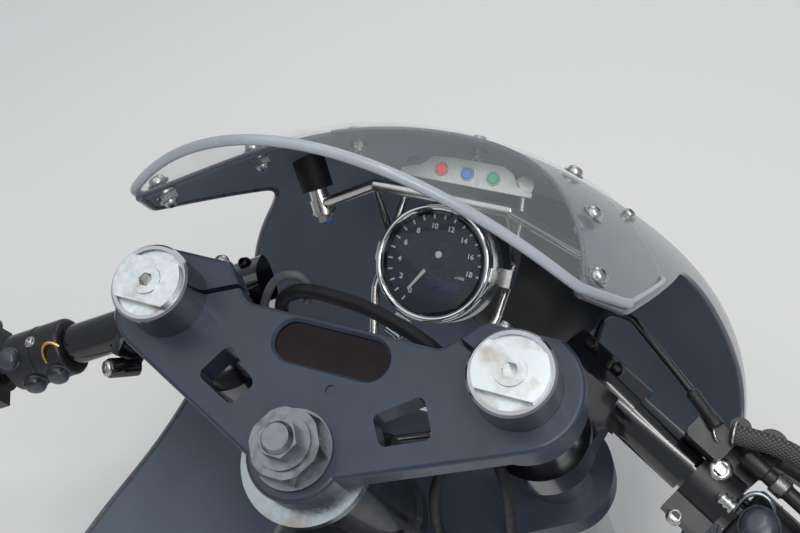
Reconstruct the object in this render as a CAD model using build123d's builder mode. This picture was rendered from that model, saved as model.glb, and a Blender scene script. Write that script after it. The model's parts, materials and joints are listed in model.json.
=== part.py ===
from build123d import *
from math import asin, atan2, cos, radians, sin, sqrt, tan
import os

os.makedirs("parts", exist_ok=True)

# Frame of this part: +X to the rider's left, +Y to the rear, +Z up.
# The origin is the centre of the mouth of the headstock's spine socket.
# "right, ahead, up" below are distances from the top of the steering stem.

# Steering geometry
rake = 25.0
fork_spacing = 205.0
fork_offset = 61.0

# Fork tubes: full size in the clamps, turned down below them where the sliders run
fork_radius = 22.5
fork_work_radius = 21.5
fork_work_length = 245.0
fork_rise = 26.0
fork_drop = 470.0
tube_chamfer = 1.2
cap_radius = 19.2
cap_seat = 8.0
cap_step = 1.5
cap_rise = 3.0
cap_flat_half = 12.5
adjuster_radius = 8.2
adjuster_rise = 0.8
adjuster_hex = 7.2
fit_gap = 0.05

# Top yoke
yoke_plate = 18.0
yoke_boss_depth = 30.0
yoke_boss_radius = 33.5
boss_step = 1.0
stem_boss_radius = 27.0
waist_half = 25.5
ear_front = 91.0
ear_inner = 76.0
web_front = 71.0
web_corner = 57.0
web_fillet = 8.0
rim_fillet = 2.5
window_length = 66.0
window_width = 22.5
window_ahead = 56.0
window_bevel = 1.6
window_top = 3.0
window_depth = 5.0
slot_width = 3.0
slot_angle = 24.5
hole_corners = [(56.8, 45.3), (68.5, 24.5), (43.2, 13.3), (34.0, 28.0)]
dimple_spot = (8.0, 35.0)
dimple_radius = 3.0

# Lower yoke
lower_yoke_top = 182.0
lower_yoke_depth = 36.0
lower_boss_radius = 36.0
lower_stem_radius = 31.0
lower_web_depth = 8.0

# Stem, its nut stack and the headstock
stem_radius = 15.0
nut_flats = 36.0
nut_height = 13.0
nut_washer_radius = 21.5
nut_washer_height = 3.0
lock_flats = 18.5
lock_height = 8.0
lock_washer_radius = 14.5
lock_washer_height = 2.0
cover_radius = 36.0
cover_height = 7.0
head_gap = 1.5
head_radius = 27.0
head_wall = 5.0
head_cup_radius = 31.0
head_cup_height = 14.0
socket_radius = 33.0
socket_run = 80.0
spine_radius = 27.5
socket_depth = 42.0
socket_back = 72.0
socket_drop = 105.0
down_tube_radius = 14.3
down_socket_radius = 19.5
down_socket_depth = 34.0
down_socket_length = 78.0

# Clip-on handlebars
bar_radius = 11.1
bar_ahead = 112.5
bar_drop = 101.0
bar_sweep = 28.5
bar_droop = 8.0
clamp_radius = 29.5
clamp_height = 38.0
arm_start = 100.0
arm_end = 147.0
arm_radius = 15.5
arm_ear_radius = 9.0
arm_ear_reach = 20.0
web_width = 26.0
sleeve_radius = 14.0
sleeve_end_right = 186.0
sleeve_end_left = 230.0
bar_seat = 34.0
grip_length = 118.0
grip_radius = 16.5
grip_flange_radius = 23.0
grip_flange = 5.0
bar_end_length = 14.0

# Controls on the bars
perch_start = {"right": 188.0, "left": 282.0}
perch_width = 26.0
perch_wall = 6.0
cheek_height = 20.0
pivot_along = 20.0
pivot_ahead = 40.0
pivot_pin = 3.0
pin_gap = 0.2
master_spot = (-6.0, 17.0)
master_length = 24.0
master_width = 18.0
master_height = 16.0
banjo_spot = (2.0, 31.0)
banjo_radius = 6.0
lever_thickness = 9.0
lever_eye = 8.5
lever_bend = 40.0
lever_ball = 8.0
lever_reach = 230.0
pod_start = {"right": 216.0, "left": 231.0}
pod_width = 46.0
pod_radius = 20.0
pod_fillet = 3.0
button_radius = {"right": 10.0, "left": 7.0}
button_height = 6.0
grip_start = {"right": 268.0, "left": 316.0}

# Fairing, screen and headlamp
wall = 3.0
seat_gap = 0.3
lamp_height = -234.0
nose_face = 412.0
nose_ring = 8.0
lamp_radius = 84.0
lamp_depth = 62.0
lamp_rim_width = 11.0
lamp_lip = 5.0
# sections across the bike: ahead, half width, half height, height of the centre
fairing_sections = [
    (-90.0, 227.0, 395.0, -185.0),
    (75.0, 218.0, 323.0, -185.0),
    (161.0, 209.0, 271.0, -185.0),
    (260.0, 209.0, 244.0, -231.0),
    (330.0, 193.0, 180.0, -238.0),
    (384.0, 145.0, 127.0, -236.0),
    (nose_face, 98.0, 96.0, lamp_height),
]
opening_half = 132.0
opening_length = 218.0
opening_ahead = 20.0
flange = 56.0
# the fairing's rear edge from the screen down round the hand scallop: ahead, up
edge_top = (57.0, 152.0)
edge_waist = (78.0, 79.0)
edge_tip = (109.0, 41.0)
scallop_front = (265.0, -63.0)
scallop_low = (270.0, -191.0)
scallop_tail = (-400.0, -290.0)
lip_height = 4.0
rear_edge = -75.0
rear_foot = (-40.0, -390.0)
front_foot = (300.0, -352.0)
nose_foot = -345.0
beyond = 400.0
below = 900.0
fairing_half = 300.0

# Instruments and the stay that carries them
gauge_ahead = 189.0
gauge_up = -36.0
gauge_tilt = 45.0
gauge_radius = 36.0
gauge_wall = 2.0
bezel_wall = 3.0
bezel_lip = 4.0
bezel_height = 5.0
gauge_depth = 46.0
dial_recess = 5.0
dial_thickness = 1.0
needle_angle = 235.0
needle_length = 24.0
band_drop = 36.0
band_height = 13.0
band_wall = 2.5
band_half = 48.0
rod_radius = 4.0
strut_radius = 3.0
eye_radius = 8.0
bobbin_nut_radius = 6.5
bobbin_nut = 7.0
bobbin_radius = 11.5
plate_tilt = 40.0
plate_thickness = 3.0
tab_thickness = 7.0
tab_radius = 6.5
lamp_pitch = 18.7
lamp_dome = 3.9
lamp_rise = 1.5

# Cables on the steering side
loom_radius = 3.0
hose_radius = 3.5


def spot(right, ahead, up):
    """A point given from the top of the stem, in this part's frame."""
    return Vector(-right, -ahead - socket_back, up + socket_drop)


def steer_spot(right, ahead, up):
    """A point given square to the steering axis, from the top of the stem."""
    level = ahead * cos(radians(rake)) - up * sin(radians(rake))
    height = ahead * sin(radians(rake)) + up * cos(radians(rake))
    return spot(right, level, height)


steer_axis = Axis(steer_spot(0, 0, 0), (0, sin(radians(rake)), cos(radians(rake))))


def steer_plane(up, right=0.0, ahead=0.0):
    """A plane square to the steering axis, x to the rider's right, y ahead."""
    return Plane(
        origin=steer_spot(right, ahead, up), x_dir=(-1, 0, 0), z_dir=steer_axis.direction
    )


def along(start, end, turn=(0, 0, 1)):
    """A plane at start that faces end."""
    way = (end - start).normalized()
    return Plane(origin=start, x_dir=way.cross(Vector(turn)), z_dir=way)


def bar_spot(side, right, fore=0.0):
    """A point on a handlebar: side is 1 on the right, right is counted along X."""
    run = right - fork_spacing / 2
    ahead = bar_ahead - run * tan(radians(bar_sweep)) + fore
    drop = bar_drop + run * tan(radians(bar_droop))
    return steer_spot(side * right, ahead, -drop)


def bar_plane(side, start):
    """A plane on the bar at start, x out along the bar, y ahead of it."""
    way = (bar_spot(side, start + 1) - bar_spot(side, start)).normalized()
    rise = way.cross(bar_spot(side, start, 1) - bar_spot(side, start))
    return Plane(origin=bar_spot(side, start), x_dir=way, z_dir=rise)


def bar_end_plane(side, start):
    """A plane across the bar at start, facing outward, x ahead of the bar."""
    controls = bar_plane(side, start)
    return Plane(origin=controls.origin, x_dir=controls.y_dir, z_dir=controls.x_dir)


def finish(block, name):
    """Names a finished piece and writes it."""
    block.part.label = name
    export_step(block.part, "parts/" + name + ".step")


sides = {"right": 1, "left": -1}
fork_half = fork_spacing / 2
fork_centres = [(fork_half, fork_offset), (-fork_half, fork_offset)]

# Top yoke: a flat cast plate with a clamp boss at each fork
waist = Vector(waist_half, -sqrt(stem_boss_radius**2 - waist_half**2))
reach = Vector(fork_half, fork_offset) - waist
edge_angle = atan2(reach.Y, reach.X) - asin(yoke_boss_radius / reach.length)
edge_run = sqrt(reach.length**2 - yoke_boss_radius**2)
boss_rear = waist + Vector(cos(edge_angle), sin(edge_angle)) * edge_run
ear_rise = ear_front - fork_offset
boss_front = Vector(fork_half + sqrt(yoke_boss_radius**2 - ear_rise**2), ear_front)
with BuildPart() as top_yoke:
    with BuildSketch(steer_plane(-yoke_plate)):
        with BuildLine():
            rear_half = waist_half * 0.75
            rear_mid = (rear_half, -sqrt(stem_boss_radius**2 - rear_half**2))
            ThreePointArc((0, -stem_boss_radius), rear_mid, waist)
            Line(waist, boss_rear)
            ThreePointArc(boss_rear, (fork_half + yoke_boss_radius, fork_offset), boss_front)
            FilletPolyline(
                boss_front, (ear_inner, ear_front), (web_corner, web_front), (0, web_front),
                radius=web_fillet,
            )
            mirror(about=Plane.YZ)
        make_face()
    extrude(amount=yoke_plate)
    top_face = top_yoke.faces().sort_by(steer_axis)[-1]
    fillet(top_face.outer_wire().edges(), rim_fillet)
    with BuildSketch(steer_plane(-yoke_boss_depth)):
        with Locations(*fork_centres):
            Circle(yoke_boss_radius - boss_step)
    extrude(amount=yoke_boss_depth - yoke_plate)
    # lightening holes, oblong window and bores
    with BuildSketch(steer_plane(-yoke_boss_depth - 1)):
        for side in sides.values():
            with BuildLine():
                FilletPolyline(*[(side * x, y) for x, y in hole_corners], radius=4, close=True)
            make_face()
        with Locations((0, window_ahead)):
            SlotOverall(window_length, window_width)
        with Locations(*fork_centres):
            Circle(fork_radius + fit_gap)
        Circle(stem_radius + fit_gap)
    extrude(amount=yoke_boss_depth + 2, mode=Mode.SUBTRACT)
    # bevel round the window, and a casting dimple behind it
    with BuildSketch(steer_plane(-window_bevel)):
        with Locations((0, window_ahead)):
            SlotOverall(window_length, window_width)
    with BuildSketch(steer_plane(0)):
        with Locations((0, window_ahead)):
            SlotOverall(window_length + 2 * window_bevel, window_width + 2 * window_bevel)
    loft(mode=Mode.SUBTRACT)
    with BuildSketch(steer_plane(-1)):
        with Locations(dimple_spot):
            Circle(dimple_radius)
    extrude(amount=2, mode=Mode.SUBTRACT)
    # pinch slots, from each fork bore to the ear's inner face
    slot_length = 38.0
    for side in sides.values():
        turn = 180 - slot_angle if side > 0 else slot_angle
        with BuildSketch(steer_plane(-yoke_boss_depth - 1)):
            with Locations(Location((side * fork_half, fork_offset), turn)):
                with Locations((fork_radius + slot_length / 2 - 3, 0)):
                    Rectangle(slot_length, slot_width)
        extrude(amount=yoke_boss_depth + 2, mode=Mode.SUBTRACT)
finish(top_yoke, "top_yoke")

# Smoked window in the yoke
with BuildPart() as dash_window:
    with BuildSketch(steer_plane(-window_top - window_depth)):
        with Locations((0, window_ahead)):
            SlotOverall(window_length - 2 * fit_gap, window_width - 2 * fit_gap)
    extrude(amount=window_depth)
finish(dash_window, "dash_window")

# Lower yoke: one forging around the stem and both forks, hollowed underneath
with BuildPart() as lower_yoke:
    with BuildSketch(steer_plane(-lower_yoke_top - lower_yoke_depth)):
        with BuildLine():
            CenterArc((0, 0), lower_stem_radius, 0, 360)
            for centre in fork_centres:
                CenterArc(centre, lower_boss_radius, 0, 360)
        make_hull()
        # the front is drawn back between the forks
        with Locations((0, fork_offset + lower_boss_radius + 12)):
            Ellipse(fork_half - 38, 34, mode=Mode.SUBTRACT)
    extrude(amount=lower_yoke_depth)
    with BuildSketch(steer_plane(-lower_yoke_top - lower_yoke_depth)):
        for side in sides.values():
            with Locations((side * 47, 24)):
                Ellipse(16, 12)
    extrude(amount=lower_yoke_depth - lower_web_depth, mode=Mode.SUBTRACT)
    with BuildSketch(steer_plane(-lower_yoke_top - lower_yoke_depth - 1)):
        with Locations(*fork_centres):
            Circle(fork_radius + fit_gap)
        Circle(stem_radius + fit_gap)
    extrude(amount=lower_yoke_depth + 2, mode=Mode.SUBTRACT)
finish(lower_yoke, "lower_yoke")

# Steering stem, with the nut stack on its top
stem_foot = lower_yoke_top + lower_yoke_depth
with BuildPart() as steering_stem:
    with BuildSketch(steer_plane(-stem_foot)):
        Circle(stem_radius)
    extrude(amount=stem_foot + nut_height)
finish(steering_stem, "steering_stem")

lock_base = nut_washer_height + nut_height
with BuildPart() as stem_nut:
    # big hexagon with turned corners
    with BuildSketch(steer_plane(nut_washer_height)):
        RegularPolygon(nut_flats / 2, 6, major_radius=False)
    extrude(amount=nut_height)
    with BuildSketch(steer_plane(nut_washer_height)):
        Circle(nut_flats / 2 + 4)
    extrude(amount=nut_height, taper=14, mode=Mode.INTERSECT)
    with BuildSketch(steer_plane(0)):
        Circle(nut_washer_radius)
    extrude(amount=nut_washer_height)
    # domed lock nut on its washer
    with BuildSketch(steer_plane(lock_base)):
        Circle(lock_washer_radius)
    extrude(amount=lock_washer_height)
    with BuildSketch(steer_plane(lock_base + lock_washer_height)):
        RegularPolygon(lock_flats / 2, 6, major_radius=False)
    extrude(amount=lock_height)
    with BuildSketch(steer_plane(lock_base + lock_washer_height + lock_height)):
        Circle(lock_flats / 2 - 0.6)
    extrude(amount=3, taper=30)
    with BuildSketch(steer_plane(0)):
        Circle(stem_radius + fit_gap)
    extrude(amount=nut_height, mode=Mode.SUBTRACT)
finish(stem_nut, "stem_nut")

with BuildPart() as bearing_cover:
    with BuildSketch(steer_plane(-yoke_plate - cover_height)):
        Circle(cover_radius)
        Circle(stem_radius + fit_gap, mode=Mode.SUBTRACT)
    extrude(amount=cover_height)
finish(bearing_cover, "bearing_cover")

# Fork tubes and their caps
for name, side in sides.items():
    with BuildPart() as fork_tube:
        with BuildSketch(steer_plane(-fork_drop, side * fork_half, fork_offset)):
            Circle(fork_work_radius)
        extrude(amount=fork_work_length)
        with BuildSketch(steer_plane(fork_work_length - fork_drop, side * fork_half, fork_offset)):
            Circle(fork_radius)
        extrude(amount=fork_drop - fork_work_length + fork_rise)
        tube_top = fork_tube.faces().sort_by(steer_axis)[-1]
        chamfer(tube_top.edges(), tube_chamfer)
        with BuildSketch(steer_plane(fork_rise - cap_seat, side * fork_half, fork_offset)):
            Circle(cap_radius + fit_gap)
        extrude(amount=cap_seat + 1, mode=Mode.SUBTRACT)
    finish(fork_tube, "fork_tube_" + name)

    with BuildPart() as fork_cap:
        with BuildSketch(steer_plane(fork_rise - cap_seat, side * fork_half, fork_offset)):
            Circle(cap_radius)
        extrude(amount=cap_seat - cap_step)
        with BuildSketch(steer_plane(fork_rise - cap_step, side * fork_half, fork_offset)):
            Circle(cap_radius)
            Rectangle(2 * cap_radius, 2 * cap_flat_half, mode=Mode.INTERSECT)
        extrude(amount=cap_step + cap_rise)
        with BuildSketch(steer_plane(fork_rise - cap_seat / 2, side * fork_half, fork_offset)):
            Circle(adjuster_radius + fit_gap)
        extrude(amount=cap_seat / 2 + cap_rise, mode=Mode.SUBTRACT)
    finish(fork_cap, "fork_cap_" + name)

with BuildPart() as fork_adjusters:
    for side in sides.values():
        with BuildSketch(steer_plane(fork_rise - cap_seat / 2, side * fork_half, fork_offset)):
            Circle(adjuster_radius)
        extrude(amount=cap_seat / 2 + cap_rise + adjuster_rise)
        with BuildSketch(steer_plane(fork_rise - cap_seat / 4, side * fork_half, fork_offset)):
            RegularPolygon(adjuster_hex / 2, 6, major_radius=False)
        extrude(amount=cap_seat, mode=Mode.SUBTRACT)
finish(fork_adjusters, "fork_adjusters")

# Clip-on clamps with their arms, bars, grips and bar ends
sleeve_ends = {"right": sleeve_end_right, "left": sleeve_end_left}
clamp_foot = -bar_drop - clamp_height / 2
for name, side in sides.items():
    sleeve_end = sleeve_ends[name]
    arm_plane = bar_end_plane(side, arm_start)
    arm_length = (bar_spot(side, arm_end) - bar_spot(side, arm_start)).length
    sleeve_length = (bar_spot(side, sleeve_end) - bar_spot(side, arm_start)).length
    with BuildPart() as clipon:
        with BuildSketch(steer_plane(clamp_foot, side * fork_half, fork_offset)):
            Circle(clamp_radius)
        extrude(amount=clamp_height)
        # arm around the bar's root, with a pinch ear ahead of it
        with BuildSketch(arm_plane):
            with BuildLine():
                CenterArc((0, 0), arm_radius, 0, 360)
                CenterArc((arm_ear_reach - arm_ear_radius, 0), arm_ear_radius, 0, 360)
            make_hull()
        extrude(amount=arm_length)
        with BuildSketch(arm_plane):
            Circle(sleeve_radius)
        extrude(amount=sleeve_length)
        # web from the clamp to the arm
        with BuildSketch(steer_plane(-bar_drop - web_width / 2, side * fork_half, fork_offset)):
            with BuildLine():
                inner = bar_ahead - fork_offset
                fall = tan(radians(bar_sweep))
                Polyline(
                    (-2, 0), (-2, inner), (side * 38, inner - 38 * fall),
                    (side * clamp_radius, 0), (-2, 0),
                )
            make_face()
        extrude(amount=web_width)
        with BuildSketch(steer_plane(clamp_foot - 1, side * fork_half, fork_offset)):
            Circle(fork_radius + fit_gap)
        extrude(amount=clamp_height + 2, mode=Mode.SUBTRACT)
        with BuildSketch(arm_plane.offset(sleeve_length - bar_seat)):
            Circle(bar_radius + fit_gap)
        extrude(amount=bar_seat + 1, mode=Mode.SUBTRACT)
    finish(clipon, "clipon_" + name)

    seat = arm_plane.offset(sleeve_length - bar_seat)
    bar_tip = bar_spot(side, grip_start[name] + grip_length)
    with BuildPart() as bar:
        with BuildSketch(seat):
            Circle(bar_radius)
        extrude(amount=(bar_tip - seat.origin).length)
    finish(bar, "bar_" + name)

    grip_plane = bar_end_plane(side, grip_start[name])
    grip_run = (bar_tip - bar_spot(side, grip_start[name])).length
    with BuildPart() as grip:
        with BuildSketch(grip_plane):
            Circle(grip_radius)
        extrude(amount=grip_run)
        with BuildSketch(grip_plane):
            Circle(grip_flange_radius)
        extrude(amount=grip_flange)
        with BuildSketch(grip_plane.offset(-1)):
            Circle(bar_radius + fit_gap)
        extrude(amount=grip_run + 2, mode=Mode.SUBTRACT)
    finish(grip, "grip_" + name)

    with BuildPart() as bar_end:
        with BuildSketch(grip_plane.offset(grip_run)):
            Circle(bar_radius + 3)
        extrude(amount=bar_end_length)
        chamfer(bar_end.edges().sort_by(Axis(grip_plane.origin, grip_plane.z_dir))[-1], 3)
    finish(bar_end, "bar_end_" + name)

# Lever perches and levers: each perch is a clevis with its pivot pin, and the lever's eye turns in it
for name, side in sides.items():
    controls = bar_plane(side, perch_start[name])
    across_bar = bar_end_plane(side, perch_start[name])
    pivot = (pivot_along, pivot_ahead)
    slot_half = lever_eye + 2.5
    with BuildPart() as perch:
        with BuildSketch(controls):
            with BuildLine():
                Polyline(
                    (0, 0), (2, pivot_ahead - 8), (pivot_along, pivot_ahead + 6),
                    (perch_width + 3, pivot_ahead), (perch_width, 0), (0, 0),
                )
            make_face()
            with Locations(pivot):
                Circle(lever_eye + 1)
        extrude(amount=cheek_height / 2, both=True)
        with BuildSketch(across_bar):
            Circle(bar_radius + perch_wall)
            Rectangle(2 * (bar_radius + perch_wall + 9), 16)
        extrude(amount=perch_width)
        if name == "right":
            # master cylinder's body above the bar, with the boss of its hose union
            with BuildSketch(controls.offset(cheek_height / 2)):
                with Locations(master_spot):
                    RectangleRounded(master_length, master_width, 4)
                with Locations(banjo_spot):
                    Circle(banjo_radius)
            extrude(amount=master_height)
            with BuildSketch(controls.offset(cheek_height / 2 + 2)):
                with Locations((master_spot[0] + 4, master_spot[1])):
                    Rectangle(master_length - 8, master_width)
            extrude(amount=-cheek_height / 2)
        # the lever's slot, and the bar's bore
        with BuildSketch(controls):
            with Locations(pivot):
                Circle(slot_half)
                with Locations((30, 0)):
                    Rectangle(60, 2 * slot_half)
        extrude(amount=lever_thickness / 2 + seat_gap, both=True, mode=Mode.SUBTRACT)
        with BuildSketch(controls):
            with Locations(pivot):
                Circle(pivot_pin)
        extrude(amount=cheek_height / 2 + 2, both=True)
        with BuildSketch(across_bar.offset(-20)):
            Circle(bar_radius + fit_gap)
        extrude(amount=perch_width + 40, mode=Mode.SUBTRACT)
        with BuildSketch(across_bar.offset(-20)):
            Circle(sleeve_radius + 1)
        extrude(amount=20, mode=Mode.SUBTRACT)
    finish(perch, "clutch_perch" if side < 0 else "brake_master")

    with BuildPart() as lever:
        with BuildSketch(controls):
            with BuildLine():
                near = FilletPolyline(
                    (pivot_along, pivot_ahead - 8), (52, 38), (88, 49), (lever_reach, 54),
                    radius=lever_bend,
                )
                far = FilletPolyline(
                    (pivot_along, pivot_ahead + 8), (50, 53), (84, 63), (lever_reach, 64),
                    radius=lever_bend,
                )
                Line(near @ 0, far @ 0)
                Line(near @ 1, far @ 1)
            make_face()
            with Locations(pivot):
                Circle(lever_eye)
                Circle(pivot_pin + pin_gap, mode=Mode.SUBTRACT)
        extrude(amount=lever_thickness / 2, both=True)
        with BuildSketch(controls):
            with Locations((lever_reach + 4, 59)):
                Circle(lever_ball)
        extrude(amount=lever_ball - 1, both=True)
    finish(lever, "clutch_lever" if side < 0 else "brake_lever")

# Switch pods: buttons by distance along the pod and angle round the bar, 0 ahead and 90 above
pod_buttons = {"right": [(14.0, 90.0)], "left": [(10.0, 165.0), (30.0, 172.0), (41.0, 105.0)]}


def button(seat_plane, radius, height):
    """A domed push button standing on seat_plane."""
    with BuildPart() as post:
        with BuildSketch(seat_plane):
            Circle(radius)
        extrude(amount=height)
        crown = post.faces().sort_by(Axis(seat_plane.origin, seat_plane.z_dir))[-1]
        fillet(crown.edges(), radius * 0.6)
    return post.part


for name, side in sides.items():
    pod_plane = bar_end_plane(side, pod_start[name])
    with BuildPart() as pod:
        with BuildSketch(pod_plane):
            Circle(pod_radius)
        extrude(amount=pod_width)
        fillet(pod.edges().filter_by(GeomType.CIRCLE), pod_fillet)
        for shift, angle in pod_buttons[name]:
            way = pod_plane.x_dir * cos(radians(angle)) + steer_axis.direction * sin(radians(angle))
            root = pod_plane.origin + pod_plane.z_dir * shift
            seat_plane = Plane(origin=root, z_dir=way).offset(bar_radius + 2)
            add(button(seat_plane, button_radius[name], pod_radius + button_height - bar_radius - 2))
        with BuildSketch(pod_plane.offset(-1)):
            Circle(bar_radius + fit_gap)
        extrude(amount=pod_width + 2, mode=Mode.SUBTRACT)
    finish(pod, "switch_pod_" + name)


def cable(stops, radius):
    """A round cable through the stops, with arcs as wide as its runs allow."""
    bends = []
    for before, corner, after in zip(stops, stops[1:], stops[2:]):
        turn = radians((corner - before).get_angle(after - corner))
        run = min((corner - before).length, (after - corner).length)
        bends.append(0.45 * run / tan(turn / 2))
    with BuildPart() as tube:
        with BuildLine() as path:
            FilletPolyline(*stops, radius=bends)
        with BuildSketch(Plane(origin=path.line @ 0, z_dir=path.line % 0)):
            Circle(radius)
        sweep()
    return tube


# Wiring loom: up from the lower yoke, across in front of the top yoke and down again
loom_points = [
    (-62, 57, seat_gap - lower_yoke_top), (-62, 57, -140), (-61, 70, -97), (-70, 90, -60),
    (-43, 98, -42), (-10, 97, -44), (17, 91, -46), (42, 83, -52), (61, 70, -82),
    (62, 57, -130), (62, 57, seat_gap - lower_yoke_top),
]
loom = cable([steer_spot(*point) for point in loom_points], loom_radius)
finish(loom, "loom")

# Brake hose: from the master cylinder ahead of the right fork, down to the lower yoke's front
hose_foot = fork_offset + lower_boss_radius + hose_radius + seat_gap
hose_points = [
    (180, 105, -86), (135, 140.5, -86), (116, 147, -106), (112, 136, -136),
    (103, 119, -165), (91, hose_foot, -198),
]
master_plane = bar_plane(1, perch_start["right"])
hose_start = master_plane.from_local_coords(
    (banjo_spot[0] - banjo_radius - seat_gap, banjo_spot[1], (cheek_height + master_height) / 2)
)
hose_stops = [hose_start] + [steer_spot(*point) for point in hose_points]
brake_hose = cable(hose_stops, hose_radius)
finish(brake_hose, "brake_hose")

# Headstock: head tube, bearing cups, spine socket and two down-tube sockets
head_top = -yoke_plate - cover_height - head_gap
head_foot = -lower_yoke_top + head_gap
socket_plane = Plane(origin=(0, 0, 0), x_dir=(1, 0, 0), z_dir=(0, 1, 0))
with BuildPart() as headstock:
    with BuildSketch(steer_plane(head_foot)):
        Circle(head_radius)
    extrude(amount=head_top - head_foot)
    with BuildSketch(steer_plane(head_foot)):
        Circle(head_cup_radius)
    extrude(amount=head_cup_height)
    with BuildSketch(steer_plane(head_top - head_cup_height)):
        Circle(head_cup_radius)
    extrude(amount=head_cup_height)
    with BuildSketch(socket_plane.offset(-socket_run)):
        Circle(socket_radius)
    extrude(amount=socket_run)
    down_planes = []
    for side in sides.values():
        lug_root = steer_spot(side * 6, -10, head_foot + 34)
        lug_end = lug_root + Vector(-side * 0.26, 0.52, -0.81) * down_socket_length
        lug_plane = along(lug_root, lug_end)
        down_planes.append(lug_plane.offset((lug_end - lug_root).length))
        with BuildSketch(lug_plane):
            Circle(down_socket_radius)
        extrude(amount=(lug_end - lug_root).length)
    # bores
    with BuildSketch(steer_plane(head_foot - 1)):
        Circle(stem_radius + fit_gap)
    extrude(amount=head_top - head_foot + 2, mode=Mode.SUBTRACT)
    with BuildSketch(steer_plane(head_foot + 20)):
        Circle(head_radius - head_wall)
    extrude(amount=head_top - head_foot - 40, mode=Mode.SUBTRACT)
    with BuildSketch(socket_plane.offset(-socket_depth)):
        Circle(spine_radius)
    extrude(amount=socket_depth + 1, mode=Mode.SUBTRACT)
    for mouth in down_planes:
        with BuildSketch(mouth.offset(-down_socket_depth)):
            Circle(down_tube_radius)
        extrude(amount=down_socket_depth + 1, mode=Mode.SUBTRACT)
finish(headstock, "headstock")


def across(ahead, up):
    """A plane across the bike, facing ahead."""
    return Plane(origin=spot(0, ahead, up), x_dir=(1, 0, 0), z_dir=(0, -1, 0))


def fairing_loft(inset):
    """The fairing's outside form, shrunk by inset, as a private solid."""
    with BuildPart() as form:
        for ahead, half_width, half_height, centre in fairing_sections:
            step = -inset if ahead == nose_face and inset > 0 else 0
            with BuildSketch(across(ahead + step, centre)):
                Ellipse(half_width - inset, half_height - inset)
        loft()
    return form.part


side_view = Plane(origin=spot(-fairing_half, 0, 0), x_dir=(0, -1, 0), z_dir=(-1, 0, 0))
plan_view = Plane(origin=spot(0, opening_ahead, -60), x_dir=(-1, 0, 0), z_dir=(0, 0, 1))
fairing_outer = fairing_loft(0)
fairing_inner = fairing_loft(wall)

with BuildPart() as fairing_shell:
    add(fairing_outer)
    add(fairing_inner, mode=Mode.SUBTRACT)
    # screen opening, seen from above
    with BuildSketch(plan_view):
        Ellipse(opening_half, opening_length)
    extrude(amount=beyond, mode=Mode.SUBTRACT)
    # open rear and hand scallops, seen from the side
    with BuildSketch(side_view):
        with BuildLine():
            FilletPolyline(
                (edge_top[0], beyond), edge_top, edge_waist, edge_tip,
                scallop_front, scallop_low, scallop_tail, radius=[10, 30, 30, 70, 45],
            )
            Polyline(scallop_tail, (-beyond, beyond), (edge_top[0], beyond))
        make_face()
    extrude(amount=2 * fairing_half, mode=Mode.SUBTRACT)
    # lower edge, up from the front to the rear corner
    with BuildSketch(side_view):
        with BuildLine():
            Polyline(
                (-beyond, -100), (rear_edge, -100), rear_foot, front_foot, (500, nose_foot),
                (500, -below), (-beyond, -below), (-beyond, -100),
            )
        make_face()
    extrude(amount=2 * fairing_half, mode=Mode.SUBTRACT)
    # headlamp hole
    with BuildSketch(across(nose_face - 40, lamp_height)):
        Circle(lamp_radius)
    extrude(amount=60, mode=Mode.SUBTRACT)
finish(fairing_shell, "fairing_shell")

# Screen: the same form carried on over the opening, resting on the fairing
with BuildPart() as screen:
    add(fairing_loft(-wall - seat_gap))
    add(fairing_loft(-seat_gap), mode=Mode.SUBTRACT)
    with BuildSketch(side_view):
        with BuildLine():
            FilletPolyline(
                (edge_top[0] + 1, beyond), (edge_top[0] + 1, edge_top[1]),
                (edge_waist[0] + 1, edge_waist[1] + lip_height / 2),
                (edge_tip[0] + 2, edge_tip[1] + lip_height), (beyond, -148), radius=[10, 30, 30],
            )
            Polyline((beyond, -148), (beyond, beyond), (edge_top[0] + 1, beyond))
        make_face()
    extrude(amount=2 * fairing_half, mode=Mode.INTERSECT)
    with BuildSketch(plan_view):
        Ellipse(opening_half + flange, opening_length + flange)
    extrude(amount=beyond, mode=Mode.INTERSECT)
finish(screen, "screen")

# Headlamp: bowl, glass and rim in the nose
lamp_back = spot(0, nose_face - lamp_depth, lamp_height)
bowl_radius = lamp_radius - wall
with BuildPart() as headlamp_bowl:
    with BuildSketch(Plane(origin=lamp_back, x_dir=(1, 0, 0), z_dir=(0, 0, -1))):
        with BuildLine():
            Polyline((0, 0), (30, 0))
            ThreePointArc((30, 0), (66, 22), (bowl_radius, lamp_depth))
            Polyline((bowl_radius, lamp_depth), (bowl_radius - wall, lamp_depth))
            ThreePointArc((bowl_radius - wall, lamp_depth), (63, 24), (29, wall))
            Polyline((29, wall), (0, wall), (0, 0))
        make_face()
    revolve(axis=Axis(lamp_back, (0, -1, 0)))
finish(headlamp_bowl, "headlamp_bowl")

with BuildPart() as headlamp_rim:
    with BuildSketch(across(nose_face + seat_gap, lamp_height)):
        Circle(lamp_radius + lamp_rim_width - lamp_lip)
        Circle(lamp_radius - lamp_lip, mode=Mode.SUBTRACT)
    extrude(amount=nose_ring)
    fillet(headlamp_rim.edges().group_by(Axis.Y)[0].sort_by(SortBy.RADIUS)[-1], 4)
finish(headlamp_rim, "headlamp_rim")

with BuildPart() as headlamp_glass:
    with BuildSketch(across(nose_face + 1, lamp_height)):
        Circle(lamp_radius - lamp_lip - seat_gap)
    extrude(amount=4)
finish(headlamp_glass, "headlamp_glass")

# Gauge
gauge_axis = Vector(0, sin(radians(gauge_tilt)), cos(radians(gauge_tilt)))
dial_seat = -dial_recess - 2
bezel_base = 3.0


def gauge_plane(up):
    """A plane square to the gauge's axis, up above the bezel's face."""
    centre = spot(0, gauge_ahead, gauge_up)
    return Plane(origin=centre + gauge_axis * up, x_dir=(-1, 0, 0), z_dir=gauge_axis)


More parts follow.
